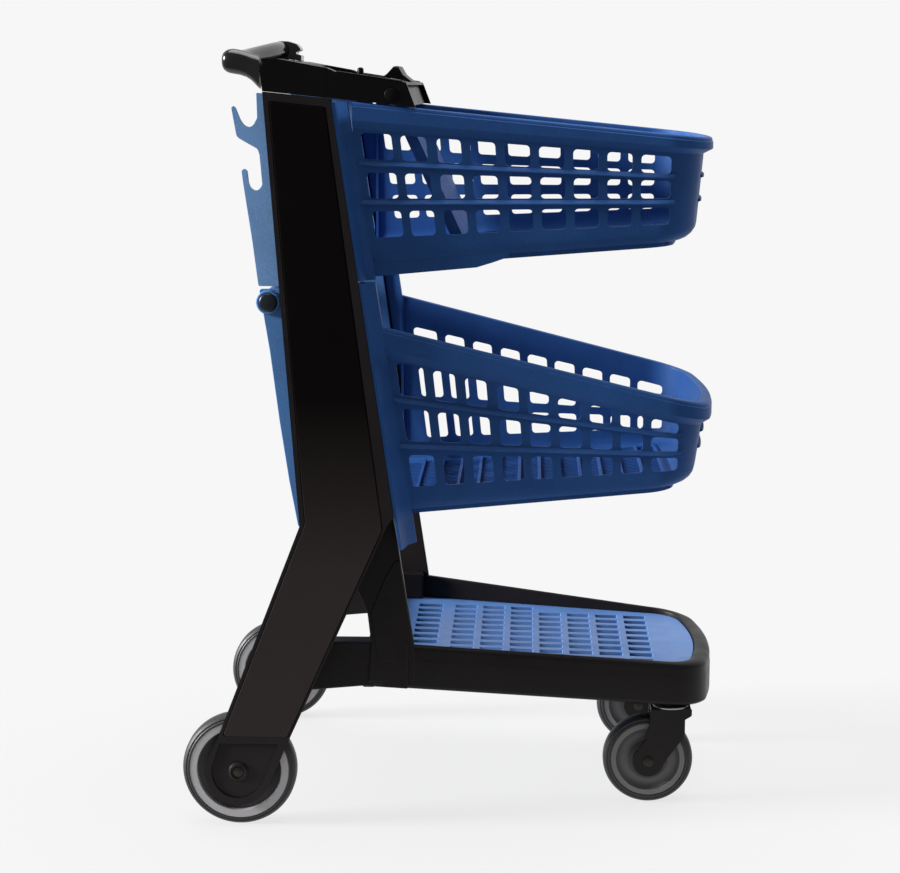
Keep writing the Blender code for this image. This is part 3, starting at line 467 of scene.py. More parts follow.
def make_side(name, side):
    sheet = prism("side_frame_moulding_" + name, side_outline(), lambda x, z: side * outer_y(z),
                  lambda x, z: side * 0.180)
    trim = bmesh.new()
    add_loft(trim, [[(x, side * y, z) for x, y in
                     ((-0.4, 0.10), (0.1, 0.10), (0.1, inner_y(z)), (-0.4, inner_y(z)))]
                    for z in (0.0, KNEE_Z, 1.0)])
    cut(sheet, solid("inner_trim", trim))
    recess = prism("recess", cover_outline(COVER_INSET - 0.0011, 0.0035),
                   lambda x, z: side * (outer_y(z) + 0.01), lambda x, z: side * (outer_y(z) - COVER_DEPTH))
    cut(sheet, recess)
    slot = bmesh.new()
    half = 0.0165
    add_turned(slot, [(REAR_RADIUS + 0.006, -half), (REAR_RADIUS + 0.006, half)], mirrored(REAR_HUB, side),
               "Y", 64, False)
    cut(sheet, solid("wheel_slot", slot))
    pocket_end = arc((REAR_HUB.x, REAR_HUB.z), 0.0350, 168.0, 335.0, 28)
    pocket = [(-0.2275, 0.1130), (-0.3040, 0.1130), *pocket_end]
    cut(sheet, prism("pocket", pocket, lambda x, z: side * (outer_y(z) + 0.01),
                     lambda x, z: side * (outer_y(z) - 0.0030)))
    soften(sheet, 0.0013, 3)
    dress(sheet, BLACK, "black_plastic", "root", "side_frame_" + name, smooth=False)

    cover = prism("side_cover_panel_" + name, cover_outline(COVER_INSET, 0.0040),
                  lambda x, z: side * (outer_y(z) + 0.0002), lambda x, z: side * (outer_y(z) - COVER_DEPTH + GAP))
    soften(cover, 0.0009, 3)
    dress(cover, COVER_PAINTED_BOUNCE, "cover_black", "root", "side_cover_" + name, smooth=False)


# ---- base and platform ----------------------------------------------------------------------------
STRUT = [(-0.0735, 0.3740), (-0.0510, 0.2250), (-0.0517, 0.1850), (-0.1123, 0.1853), (-0.1085, 0.2400),
         (-0.1130, 0.2800), (-0.1260, 0.3120), (-0.1500, 0.3120), (-0.1150, 0.3980), (-0.0790, 0.4060)]
REAR_BEAM = [(-0.0600, 0.1755), (-0.1200, 0.1790), (-0.1960, 0.1720), (-0.1960, 0.2390), (-0.0600, 0.2390)]


def base_rings():
    """Section of the base's tray, from its foot over the rim to the deck and its opening."""
    rear, inner_rear, edge = -0.106, -0.098, 0.006
    rings = []

    def level(grow, front_drop, corner, height, rear_x=rear, front_x=BASE_FRONT):
        rings.append(ring(plan(BASE_TAPER, grow, rear_x, front_x - front_drop, corner), height))

    for a in (0.0, 30.0, 60.0, 90.0):
        s, c = math.sin(math.radians(a)), math.cos(math.radians(a))
        level(0.004 + edge * s, 0.008 * (1 - s), 0.056, raised(BASE_FOOT, edge * (1 - c)))
    level(0.0100, 0.0, 0.058, raised(BASE_RIM, -0.0205))
    level(0.0094, 0.0006, 0.058, raised(BASE_RIM, -0.0198))
    level(0.0094, 0.0006, 0.058, raised(BASE_RIM, -0.0080))
    for a in (25.0, 50.0, 75.0):
        s, c = math.sin(math.radians(a)), math.cos(math.radians(a))
        level(0.0034 + edge * c, 0.0006 + 0.012 * (1 - c), 0.056, raised(BASE_RIM, -0.0080 + 0.0080 * s))
    level(0.0020, 0.0170, 0.053, BASE_RIM, -0.1020)
    level(0.0006, 0.0205, 0.051, raised(BASE_RIM, -0.0010), -0.0990)
    level(0.0, 0.0220, 0.050, raised(BASE_RIM, -0.0035), inner_rear)
    deck = raised(DECK_TOP, -0.0075)
    level(0.0, 0.0220, 0.050, deck, inner_rear)
    for line in (deck, raised(DECK_TOP, -0.0155)):
        level(-0.028, 0.0, 0.020, line, -0.030, 0.215)
    for line in (raised(DECK_TOP, -0.0155), raised(BASE_FOOT, 0.0)):
        level(-0.002, 0.0, 0.020, line, -0.048, 0.236)
    return rings


def make_base():
    bm = bmesh.new()
    add_loft(bm, base_rings(), closed=True)
    base = solid("base_moulding", bm)
    clear = bmesh.new()
    wide = 0.186
    add_loft(clear, [[(-0.13, -wide, z), (-0.0970, -wide, z), (-0.0970, wide, z), (-0.13, wide, z)]
                     for z in (0.1948, 0.27)])
    cut(base, solid("rear_clearing", clear))
    soften(base, 0.0010, 2, 50.0)
    parts = []
    for side in SIDES.values():
        strut = prism("strut", rounded(STRUT, [0.004, 0.020, 0.0, 0.0, 0.010, 0.020, 0.012, 0.0, 0.0, 0.004]),
                      lambda x, z: side * (on(BASE_TAPER, x) + 0.0110),
                      lambda x, z: side * (on(BASE_TAPER, x) + 0.0012))
        rib = prism("strut_rib", rounded([(-0.0715, 0.3560), (-0.0530, 0.2300), (-0.0560, 0.2140),
                                          (-0.0990, 0.2140), (-0.1040, 0.2450), (-0.1080, 0.2800),
                                          (-0.0900, 0.3250)], 0.004),
                    lambda x, z: side * (on(BASE_TAPER, x) + 0.0100),
                    lambda x, z: side * (on(BASE_TAPER, x) + 0.0125))
        beam = prism("beam", rounded(REAR_BEAM, [0.0, 0.0, 0.004, 0.004, 0.0]), side * (LEG_INNER_Y - 2 * GAP),
                     side * 0.180)
        for part, width in ((strut, 0.0020), (beam, 0.0025), (rib, 0.0010)):
            soften(part, width, 3)
            parts.append(part)
    shelf = prism("rear_cross", rounded([(-0.121, 0.1760), (-0.104, 0.1760), (-0.104, 0.2060), (-0.110, 0.2130),
                                         (-0.121, 0.2130)], 0.003), -0.205, 0.205)
    web = prism("rear_web", [(-0.118, 0.1765), (-0.065, 0.1765), (-0.065, 0.1830), (-0.118, 0.1830)],
                -0.184, 0.184)
    for part in (shelf, web):
        soften(part, 0.0020, 3)
        parts.append(part)
    join(base, parts)
    dress(base, BLACK, "black_plastic", "root", "base_frame", smooth=False)


SLOT_PITCH_Y = 0.0290
SLOT_HALF_Y = 0.0085
SLOT_COLUMNS = [(-0.0630, 0.0345)] + [(-0.0095 + 0.0410 * k, 0.0315) for k in range(7)]


def make_platform():
    bm = bmesh.new()
    edge = 0.0010
    rows = [(-0.0018, DECK_TOP[0] - 0.0072), (-0.0008, DECK_TOP[0] - 0.0062), (-0.0008, DECK_TOP[0] - edge),
            (-0.0018, DECK_TOP[0])]
    add_loft(bm, [ring(plan(BASE_TAPER, grow, -0.101, BASE_FRONT - 0.0220 + grow, 0.0495), (z, DECK_TOP[1]))
                  for grow, z in rows])
    grille = solid("platform_panel", bm)
    cuts = bmesh.new()
    for start, length in SLOT_COLUMNS:
        room = on(BASE_TAPER, start + length) - 0.012
        for row in range(-5, 6):
            y = row * SLOT_PITCH_Y
            if abs(y) + SLOT_HALF_Y < room:
                corners = [(start, y - SLOT_HALF_Y), (start + length, y - SLOT_HALF_Y),
                           (start + length, y + SLOT_HALF_Y), (start, y + SLOT_HALF_Y)]
                outline = rounded(corners, 0.0012, 2)
                add_loft(cuts, [[(px, py, z) for px, py in outline] for z in (0.17, 0.22)])
    cut(grille, solid("slots", cuts))
    soften(grille, 0.0006, 2, 50.0)
    dress(grille, BLUE_DECK_LIT, "blue_plastic", "root", "platform_grille", smooth=False)


# ---- baskets ------------------------------------------------------------------------------------
def line_through(x0, z0, x1, z1):
    """The (value at zero, slope) of a line through two points."""
    slope = (z1 - z0) / (x1 - x0)
    return z0 - slope * x0, slope


def window(spec, left, right, top, bottom):
    """Outline of a window whose sides lean with the posts, less and less towards the front."""
    def lean(x, edge):
        slant = spec["lean"][0] + spec["lean"][1] * x
        return x + slant * (on(spec["middle"], x) - on(edge, x))

    corners = [(lean(x, bottom), bottom) for x in (left, right)]
    corners += [(lean(x, top), top) for x in (right, left)]
    return [(x, on(line, x)) for x, line in corners]


UPPER = {
    "rear": -0.1280, "front": 0.3400, "rim": (0.9262, -0.1014), "foot": (0.7352, 0.0712),
    "under": (0.9042, -0.0809), "crease": (0.8959, -0.0751),
    "panel": (0.7140, 0.9380), "lean": (0.094, -0.40), "middle": (0.8314, -0.0145),
    "columns": [(-0.1094, -0.0720), (-0.0613, -0.0296), (-0.0169, 0.0129), (0.0243, 0.0554), (0.0668, 0.0980),
                (0.1095, 0.1411), (0.1520, 0.1833), (0.1946, 0.2261), (0.2373, 0.2749)],
    "rows": [(line_through(-0.0975, 0.8992, 0.2556, 0.8713), line_through(-0.0951, 0.8663, 0.2559, 0.8490)),
             (line_through(-0.0928, 0.8498, 0.2562, 0.8397), line_through(-0.0892, 0.8172, 0.2566, 0.8168)),
             (line_through(-0.0856, 0.8012, 0.2569, 0.8050), line_through(-0.0833, 0.7680, 0.2573, 0.7831))],
    "ribs": [line_through(-0.1313, 0.8625, 0.281, 0.8440), line_through(-0.123, 0.8121, 0.2793, 0.8115)],
    "rib_ends": (-0.1210, 0.2815)}
LOWER = {
    "rear": -0.0920, "front": 0.3450, "rim": (0.6313, -0.2491), "foot": (0.4118, 0.0815),
    "under": (0.6045, -0.2324), "crease": (0.5941, -0.2297),
    "panel": (0.3700, 0.7112), "lean": (0.105, -0.37), "middle": (0.5206, -0.0843),
    "columns": [(-0.0646, -0.0314), (-0.0197, 0.0074), (0.0198, 0.0466), (0.0594, 0.0864), (0.0978, 0.1253),
                (0.1364, 0.1649), (0.1766, 0.2047), (0.2158, 0.2449), (0.2557, 0.2911)],
    "rows": [(line_through(-0.0747, 0.6085, 0.2888, 0.5262), line_through(-0.0749, 0.5655, 0.2892, 0.5122)),
             (line_through(-0.0670, 0.5480, 0.2893, 0.5058), line_through(-0.0671, 0.5053, 0.2896, 0.4877)),
             (line_through(-0.0578, 0.4862, 0.2872, 0.4805), line_through(-0.0579, 0.4433, 0.2875, 0.4634))],
    "ribs": [line_through(-0.0875, 0.5604, 0.2962, 0.5085), line_through(-0.0802, 0.4980, 0.2955, 0.4850)],
    "rib_ends": (-0.0860, 0.2965)}
BOTTOM_RADIUS = 0.0185


def basket_levels(spec):
    """Section of the moulding as (grow, front drop, corner, height line, is inside)."""
    rim, foot, under, crease = spec["rim"], spec["foot"], spec["under"], spec["crease"]
    levels = [(-0.0245, 0.0470, 0.040, foot, 0), (-0.0245, 0.0470, 0.040, raised(foot, 0.0055), 0)]
    for a in (0.0, 18.0, 36.0, 54.0, 72.0, 90.0):
        s, c = math.sin(math.radians(a)), math.cos(math.radians(a))
        levels.append((-0.0235 + 0.0075 * s, 0.0460 - 0.0260 * s, 0.041 + 0.009 * s,
                       raised(foot, 0.0055 + BOTTOM_RADIUS * (1 - c)), 0))
    levels += [(-0.0102, 0.0122, 0.054, raised(crease, -0.0006), 0),
               (-0.0092, 0.0112, 0.054, raised(crease, 0.0003), 0),
               (-0.0012, 0.0014, 0.059, raised(under, -0.0004), 0), (-0.0002, 0.0002, 0.060, raised(under, 0.0004), 0),
               (0.0, 0.0, 0.060, raised(under, 0.0014), 0), (0.0, 0.0, 0.060, raised(rim, -0.0060), 0),
               (-0.0010, 0.0010, 0.060, raised(rim, -0.0050), 0),
                (-0.0010, 0.0010, 0.060, raised(rim, -0.0040), 0)]
    for a in (30.0, 60.0, 90.0):
        s, c = math.sin(math.radians(a)), math.cos(math.radians(a))
        levels.append((-0.0008 - 0.0037 * (1 - c), 0.0008 + 0.0037 * (1 - c), 0.060,
                       raised(rim, -0.0036 + 0.0036 * s), 0))
    levels += [(-0.0105, 0.0110, 0.056, rim, 1), (-0.0126, 0.0136, 0.054, raised(rim, -0.0010), 1),
               (-0.0136, 0.0156, 0.052, raised(rim, -0.0040), 1)]
    for a in (90.0, 72.0, 54.0, 36.0, 18.0, 0.0):
        s, c = math.sin(math.radians(a)), math.cos(math.radians(a))
        levels.append((-0.0271 + 0.0075 * s, 0.0496 - 0.0260 * s, 0.037 + 0.009 * s,
                       raised(foot, 0.0057 + BOTTOM_RADIUS * (1 - c)), 1))
    levels.append((-0.0295, 0.0515, 0.036, raised(foot, WALL), 1))
    return levels


def wall_y(spec, x, z):
    """Distance from the middle plane to a wall's outer face, which leans out as it rises."""
    low = on(spec["foot"], x) + 0.0055 + BOTTOM_RADIUS
    high = on(spec["crease"], x)
    share = min(1.0, max(0.0, (z - low) / (high - low)))
    return on(TAPER, x) - 0.0160 + 0.0060 * share


def post_front_x(z):
    (x0, z0), (x1, z1) = POST_FRONT
    return x0 + (x1 - x0) * (z - z0) / (z1 - z0)


def side_ribs(spec, side):
    bm = bmesh.new()
    start, end = spec["rib_ends"]
    for line in spec["ribs"]:
        rings = []
        for x in spaced(start, end, 24):
            z = on(line, x)
            fade = math.sqrt(min(1.0, (x - start + 0.0010) / 0.006, (end - x + 0.0004) / 0.014))
            wall = wall_y(spec, x, z)
            rings.append([(x, side * (wall + out), z + dz) for out, dz in
                          ((-0.0025, -0.0034), (0.0003, -0.0032), (0.0053 * fade, -0.0022), (0.0056 * fade, -0.0014),
                           (0.0050 * fade, -0.0004), (0.0003, 0.0034), (-0.0025, 0.0038))])
        add_loft(bm, rings)
    return solid("side_ribs", bm)


def front_ribs(spec):
    """Low ribs across the front wall."""
    bm = bmesh.new()
    reach, proud = 0.105, 0.0025
    x_front = spec["front"]
    under = on(spec["crease"], x_front)
    foot = on(spec["foot"], x_front)
    for line in [on(rib, 0.310) for rib in spec["ribs"]]:
        rings = []
        for y in spaced(-reach, reach, 20):
            fade = math.sqrt(max(0.05, 1.0 - (y / reach) ** 8))
            share = min(1.0, max(0.0, (line - foot - 0.022) / (under - foot - 0.022)))
            x = x_front - 0.0200 + 0.0080 * share - BULGE * (y / 0.135) ** 2 * 0.8
            rings.append([(x - 0.003, y, line - 0.0030), (x + proud * fade, y, line - 0.0018),
                          (x + proud * fade, y, line + 0.0018), (x - 0.003, y, line + 0.0030)])
        add_loft(bm, rings)
    return solid("front_ribs", bm)


def floor_ribs(spec):
    """Fine lengthwise ribs and stronger cross ribs that stand on the floor."""
    bm = bmesh.new()
    top = raised(spec["foot"], WALL)
    rear, front = spec["rear"] + 0.008, spec["front"] - 0.064
    half, tall = 0.0009, 0.0022
    for y in [i * 0.011 for i in range(-14, 15)]:
        short = 0.012 if abs(y) > on(TAPER, front) - 0.040 else 0.0
        rings = []
        for x in (rear, front - short):
            z = on(top, x)
            rings.append([(x, y - half * 1.6, z - 0.001), (x, y - half, z + tall), (x, y + half, z + tall),
                          (x, y + half * 1.6, z - 0.001)])
        add_loft(bm, rings)
    count = int((front - rear) / 0.028)
    for i in range(1, count + 1):
        x = rear + i * 0.028
        half_y = on(TAPER, x) - 0.034
        z = on(top, x)
        add_loft(bm, [[(x - 0.0027, y, z - 0.001), (x - 0.0019, y, z + 0.0040), (x + 0.0019, y, z + 0.0040),
                       (x + 0.0027, y, z - 0.001)] for y in (-half_y, half_y)])
    return solid("floor_ribs", bm)


def corner_panel(spec, side):
    """Slanted panel from the front edge of a post to the basket's wall, flush with the rim above."""
    bm = bmesh.new()
    rings = []
    low, high = spec["panel"]
    for z in spaced(low, high, 26):
        x0 = post_front_x(z) + 0.0006
        x1 = x0 + 0.0205
        y0 = outer_y(z) - 0.0010
        under = on(spec["under"], x1)
        flush = smoothstep((z - under + 0.020) / 0.024)
        inner = wall_y(spec, x1, z) - 0.0003
        y1 = inner + (on(TAPER, x1) - 0.0002 - inner) * flush
        middle = y0 + (y1 - y0) * (0.5 + 0.18 * (1 - flush))
        rings.append([(x0, side * y0, z), (x0 + 0.004, side * (y0 - 0.0002), z),
                      ((x0 + x1) / 2, side * middle, z), (x1, side * y1, z),
                      (x1, side * (inner - WALL + 0.0006), z), (x0, side * (inner_y(z) + 0.0006), z)])
    add_loft(bm, rings)
    return solid("corner_panel", bm)


def upper_skirt(spec, side):
    """Deeper edge under the rear half of the upper basket, stepped in from its wall."""
    bm = bmesh.new()
    lower = [(-0.1240, 0.7140), (-0.1000, 0.7180), (0.0280, 0.7290), (0.0480, 0.7350), (0.0700, 0.7425)]
    rings = []
    for x, z in lower:
        y = on(TAPER, x) - 0.0190
        top = on(spec["foot"], x) + 0.012
        rings.append([(x, side * y, z), (x, side * y, top), (x, side * (y - 0.004), top),
                      (x, side * (y - 0.004), z)])
    add_loft(bm, rings)
    return solid("skirt", bm)


def make_basket(name, spec):
    bm = bmesh.new()
    rear, front = spec["rear"], spec["front"]
    add_loft(bm, [ring(plan(TAPER, grow, rear + WALL * inside, front - drop, corner), height)
                  for grow, drop, corner, height, inside in basket_levels(spec)])
    basket = solid(name + "_moulding", bm)
    way = bmesh.new()
    half, top_half = on(TAPER, rear) - 0.0236, on(TAPER, rear) - 0.0136
    low, high = on(spec["foot"], rear) + WALL + 0.0005, on(spec["rim"], rear) + 0.05
    add_loft(way, [[(rear - 0.05, -w, z), (rear + 0.010, -w, z), (rear + 0.010, w, z), (rear - 0.05, w, z)]
                   for w, z in ((half, low), (top_half, high))])
    cut(basket, solid("gateway", way))
    cuts = bmesh.new()
    for left, right in spec["columns"]:
        for top, bottom in spec["rows"]:
            add_prism(cuts, rounded(window(spec, left, right, top, bottom), 0.0050, 3), -0.26, 0.26)
    cut(basket, solid("windows", cuts))
    soften(basket, 0.0008, 2, 42.0)
    parts = [floor_ribs(spec), front_ribs(spec)]
    for side in SIDES.values():
        parts += [side_ribs(spec, side), corner_panel(spec, side)]
        if spec is UPPER:
            parts.append(upper_skirt(spec, side))
    attach(basket, parts)
    dress(basket, BLUE, "blue_plastic", "root", name, smooth=False)


# ---- plates behind the posts ------------------------------------------------------------------
HOOKS = [(-0.2510, 0.9500), (-0.2502, 0.9184), (-0.2555, 0.9088), (-0.2612, 0.9065), (-0.2671, 0.9100),
         (-0.2712, 0.9159), (-0.2773, 0.9309), (-0.2805, 0.9342), (-0.2830, 0.9310), (-0.2766, 0.8946),
         (-0.2615, 0.8858), (-0.2501, 0.8796), (-0.2477, 0.8720), (-0.2445, 0.8342), (-0.2490, 0.8278),
         (-0.2545, 0.8270), (-0.2595, 0.8310), (-0.2617, 0.8367), (-0.2633, 0.8519), (-0.2671, 0.8550),
         (-0.2710, 0.8525), (-0.2687, 0.8342), (-0.2583, 0.7644), (-0.2509, 0.7055), (-0.1300, 0.7055),
         (-0.1300, 0.7550), (-0.1568, 0.9410)]
HOOK_RADII = [0.001, 0.006, 0.008, 0.008, 0.008, 0.008, 0.003, 0.002, 0.002, 0.008, 0.006, 0.006, 0.006, 0.006,
              0.006, 0.006, 0.006, 0.006, 0.004, 0.003, 0.004, 0.006, 0.02, 0.002, 0.002, 0.002, 0.002]
HINGE_PLATE = [(-0.2503, 0.7020), (-0.2373, 0.6230), (-0.2256, 0.5317), (-0.2136, 0.4527), (-0.2026, 0.3930),
               (-0.1250, 0.3930), (-0.1220, 0.4120), (-0.0860, 0.4200), (-0.0860, 0.4360), (-0.1208, 0.7020)]
PLATE_THICK = 0.0040


def make_plates(name, side):
    def y_at(depth):
        return lambda x, z: side * (inner_y(z) - GAP - 0.0004 - depth)

    hooks = prism("hook_plate_" + name, rounded(HOOKS, HOOK_RADII, 3), y_at(0.0), y_at(PLATE_THICK))
    soften(hooks, 0.0008, 3)
    dress(hooks, BLUE_HOOK_LIT, "blue_plastic", "root", "upper_hook_plate_" + name, smooth=False)

    plate = prism("hinge_plate_" + name, rounded(HINGE_PLATE, 0.003, 3), y_at(0.0), y_at(PLATE_THICK))
    soften(plate, 0.0008, 3)
    centre = Vector((LOWER_PIVOT.x, 0.0, LOWER_PIVOT.z))
    boss = bmesh.new()
    inner, outer = side * 0.1880, side * 0.2070
    edge = side * 0.0014
    add_turned(boss, [(0.0093, inner), (0.0143, inner), (0.0155, inner + edge), (0.0155, outer - edge),
                      (0.0143, outer), (0.0125, outer), (0.0120, outer - edge), (0.0093, outer - edge)],
               centre, "Y", 64)
    ring_part = solid("boss", boss)
    ring_part.data.shade_smooth()
    ring_part.data.set_sharp_from_angle(angle=math.radians(38.0))
    join(plate, [ring_part])
    dress(plate, BLUE_PLATE_LIT, "blue_plastic", "root", "lower_hinge_plate_" + name, smooth=False)
    cap = [(0.0004, side * 0.2098), (0.0090, side * 0.2096), (0.0108, side * 0.2090), (0.0116, side * 0.2080),
           (0.0116, side * 0.2066), (0.0004, side * 0.2066)]
    turned("rod_plug_" + name, cap, centre, "Y", PLUG, "plug_blue", "root", "lower_rod_cap_" + name)


# ---- gates --------------------------------------------------------------------------------------
GATE_THICK = 0.0040


def gate_frame(pivot, tilt):
    """The rod's centre, a function that gives a point at (distance from the rod, distance behind it),
    and one that gives its (x, z)."""
    origin = Vector((pivot.x, 0.0, pivot.z))
    along = Vector((math.sin(tilt), 0.0, -math.cos(tilt)))
    behind = Vector((-math.cos(tilt), 0.0, -math.sin(tilt)))

    def point(s, n, y=0.0):
        return origin + along * s + behind * n + Vector((0.0, y, 0.0))

    def at(s, n):
        return point(s, n).x, point(s, n).z

    return origin, point, at


def stiffener(at, s, back, half):
    """Low rib across the rear of a gate's panel."""
    return prism("stiffener", [at(s - 0.0016, back - 0.0005), at(s - 0.0010, back + 0.0030),
                               at(s + 0.0010, back + 0.0030), at(s + 0.0016, back - 0.0005)], -half, half)


def gate_sleeve(origin, knuckle, bore, half):
    sleeve = bmesh.new()
    add_turned(sleeve, [(bore, -half), (knuckle - 0.001, -half),
                        (knuckle, 0.001 - half), (knuckle, half - 0.001),
                        (knuckle - 0.001, half), (bore, half)], origin, "Y", 48)
    return solid("sleeve", sleeve)


def make_upper_gate(pivot, tilt):
    """A solid panel with folded edges, on a stepped neck that hangs behind its rod."""
    origin, _, at = gate_frame(pivot, tilt)
    half, length, neck, face, step = 0.1770, 0.2230, 0.0120, -0.0064, 0.0400
    back, drop = face + GATE_THICK, step + GATE_THICK
    outline = [at(s, n) for s, n in
               ((-0.006, 0.006), (-0.006, neck + GATE_THICK), (drop, neck + GATE_THICK), (drop, back),
                (length, back), (length, face), (step, face), (step, neck), (0.010, neck), (0.006, 0.006))]
    panel = prism("upper_gate_panel", rounded(outline, [0, 0.004, 0.004, 0.002, 0.001, 0.001, 0.003, 0.002, 0.003, 0],
                                              3), -half, half)
    soften(panel, 0.0007, 2, 42.0)
    parts = [gate_sleeve(origin, 0.0080, 0.0043, half)]
    for side in SIDES.values():
        edge = prism("edge", rounded([at(step + 0.002, face + 0.001), at(step + 0.002, 0.0080),
                                      at(length - 0.001, 0.0080), at(length - 0.001, face + 0.001)], 0.003, 3),
                     side * (half - 0.0044), side * (half - 0.0004))
        soften(edge, 0.0008, 2, 42.0)
        parts.append(edge)
    parts += [stiffener(at, s, back, half - 0.006) for s in (0.085, 0.130, 0.175)]
    attach(panel, parts)
    return panel


def make_lower_gate(pivot, tilt):
    """A flat lattice that hangs from knuckles round its hinge rod."""
    origin, point, at = gate_frame(pivot, tilt)
    half, length, back = 0.1830, 0.3000, GATE_THICK / 2
    panel = prism("lower_gate_lattice", [at(0.0, -back), at(0.0, back), at(length, back), at(length, -back)],
                  -half, half)
    cuts = bmesh.new()
    columns, rows, margin, start = 5, 3, 0.010, 0.050
    pitch_y = (2 * half - 2 * margin) / columns
    pitch_s = (length - start - margin) / rows
    for i in range(columns):
        for j in range(rows):
            y0, s0 = -half + margin + i * pitch_y + 0.006, start + j * pitch_s + 0.005
            corners = [(s0, y0), (s0 + pitch_s - 0.010, y0), (s0 + pitch_s - 0.010, y0 + pitch_y - 0.012),
                       (s0, y0 + pitch_y - 0.012)]
            add_loft(cuts, [[point(s, n, y) for s, y in rounded(corners, 0.004, 3)] for n in (-0.008, 0.008)])
    cut(panel, solid("slots", cuts))
    soften(panel, 0.0009, 3, 42.0)
    parts = [gate_sleeve(origin, 0.0130, 0.0093, half)]
    parts += [stiffener(at, min(start + row * pitch_s, length - 0.004), back, half - 0.002)
              for row in range(rows + 1)]
    attach(panel, parts)
    return panel


def make_gates():
    upper = make_upper_gate(UPPER_PIVOT, math.radians(24.7))
    dress(upper, BLUE, "blue_plastic", "upper_gate", "upper_gate", smooth=False)
    lower = make_lower_gate(LOWER_PIVOT, math.radians(32.4))
    dress(lower, BLUE, "blue_plastic", "lower_gate", "lower_gate", smooth=False)
    for name, pivot, radius, reach in (("upper", UPPER_PIVOT, 0.0040, 0.2120),
                                       ("lower", LOWER_PIVOT, 0.0090, 0.2062)):
        rod = [(0.0003, -reach), (radius - 0.0010, -reach), (radius, 0.0010 - reach), (radius, reach - 0.0010),
               (radius - 0.0010, reach), (0.0003, reach)]
        turned(name + "_rod", rod, (pivot.x, 0.0, pivot.z), "Y", STEEL, "steel", "root",
               name + "_gate_rod", steps=40)


# ---- console ------------------------------------------------------------------------------------
def make_console():
    floor, top = CONSOLE_FLOOR, CONSOLE_TOP
    outline = [(-0.2412, on(floor, -0.2412)), (-0.0485, on(floor, -0.0485)), (-0.0600, on(top, -0.0600)),
               (-0.1480, on(top, -0.1480) - 0.0030), (-0.1600, on(top, -0.1600)), (-0.2240, on(top, -0.2240)),
               (-0.2400, 0.9890), (-0.2440, 0.9780)]
    body = prism("console_moulding", rounded(outline, [0.0, 0.0, 0.002, 0.012, 0.012, 0.008, 0.006, 0.010], 5),
                 -CONSOLE_HALF, CONSOLE_HALF)
    wall = 0.0040
    hollow = [(-0.2370, 0.90), (-0.0600, 0.90), (-0.0600, on(floor, -0.0600)),
              (-0.0715, on(top, -0.0715) - wall - 0.001), (-0.0900, on(top, -0.0900) - wall - 0.003),
              (-0.0960, on(top, -0.0960) - 0.0130), (-0.2010, on(top, -0.2010) - 0.0130),
              (-0.2070, on(top, -0.2070) - wall - 0.001), (-0.2370, 0.9790)]
    cut(body, prism("hollow", hollow, wall - CONSOLE_HALF, CONSOLE_HALF - wall))
    cut(body, prism("front_pocket", [(-0.0442, 0.90), (-0.0200, 0.90), (-0.0200, 0.9526), (-0.0673, 0.9612)],
                    0.0050 - CONSOLE_HALF, CONSOLE_HALF - 0.0050))
    tray = bmesh.new()
    plan_corners = rounded([(-0.1965, -0.170), (-0.0995, -0.170), (-0.0995, 0.170), (-0.1965, 0.170)], 0.010, 6)
    add_loft(tray, [[(x, y, on(top, x) - 0.0085) for x, y in plan_corners],
                    [(x, y, on(top, x) + 0.02) for x, y in plan_corners]])
    cut(body, solid("tray", tray))
    for side in SIDES.values():
        groove = prism("groove", [(-0.1606, 0.90), (-0.1598, 0.90), (-0.1598, 1.0), (-0.1606, 1.0)],
                       side * (CONSOLE_HALF - 0.0009), side * (CONSOLE_HALF + 0.01))
        cut(body, groove)
        bore = bmesh.new()
        add_turned(bore, [(0.0096, side * (CONSOLE_HALF - 0.0008)), (0.0096, side * (CONSOLE_HALF + 0.01))],
                   (UPPER_PIVOT.x, 0.0, UPPER_PIVOT.z), "Y", 40, False)
        cut(body, solid("plug_seat", bore))
    soften(body, 0.0016, 3, 40.0)
    lips = []
    for side in SIDES.values():
        points = [(-0.1480, on(top, -0.1480) - 0.0045), (-0.0640, on(top, -0.0640) - 0.0020)]
        rail = prism("lip", [points[0], points[1], (points[1][0], points[1][1] + 0.0032),
                             (points[0][0], points[0][1] + 0.0032)],
                     side * (CONSOLE_HALF - 0.0080), side * (CONSOLE_HALF + 0.0))
        soften(rail, 0.0012, 3)
        lips.append(rail)
    join(body, lips)
    dress(body, CONSOLE, "console_black", "root", "console", smooth=False)

    for name, side in SIDES.items():
        face = side * CONSOLE_HALF
        cap = [(0.0004, face + side * 0.0012), (0.0076, face + side * 0.0011), (0.0086, face + side * 0.0004),
               (0.0088, face - side * 0.0006), (0.0004, face - side * 0.0006)]
        turned("console_plug_" + name, cap, (UPPER_PIVOT.x, 0.0, UPPER_PIVOT.z), "Y", CONSOLE, "plug_blue", "root",
               "upper_rod_cap_" + name)


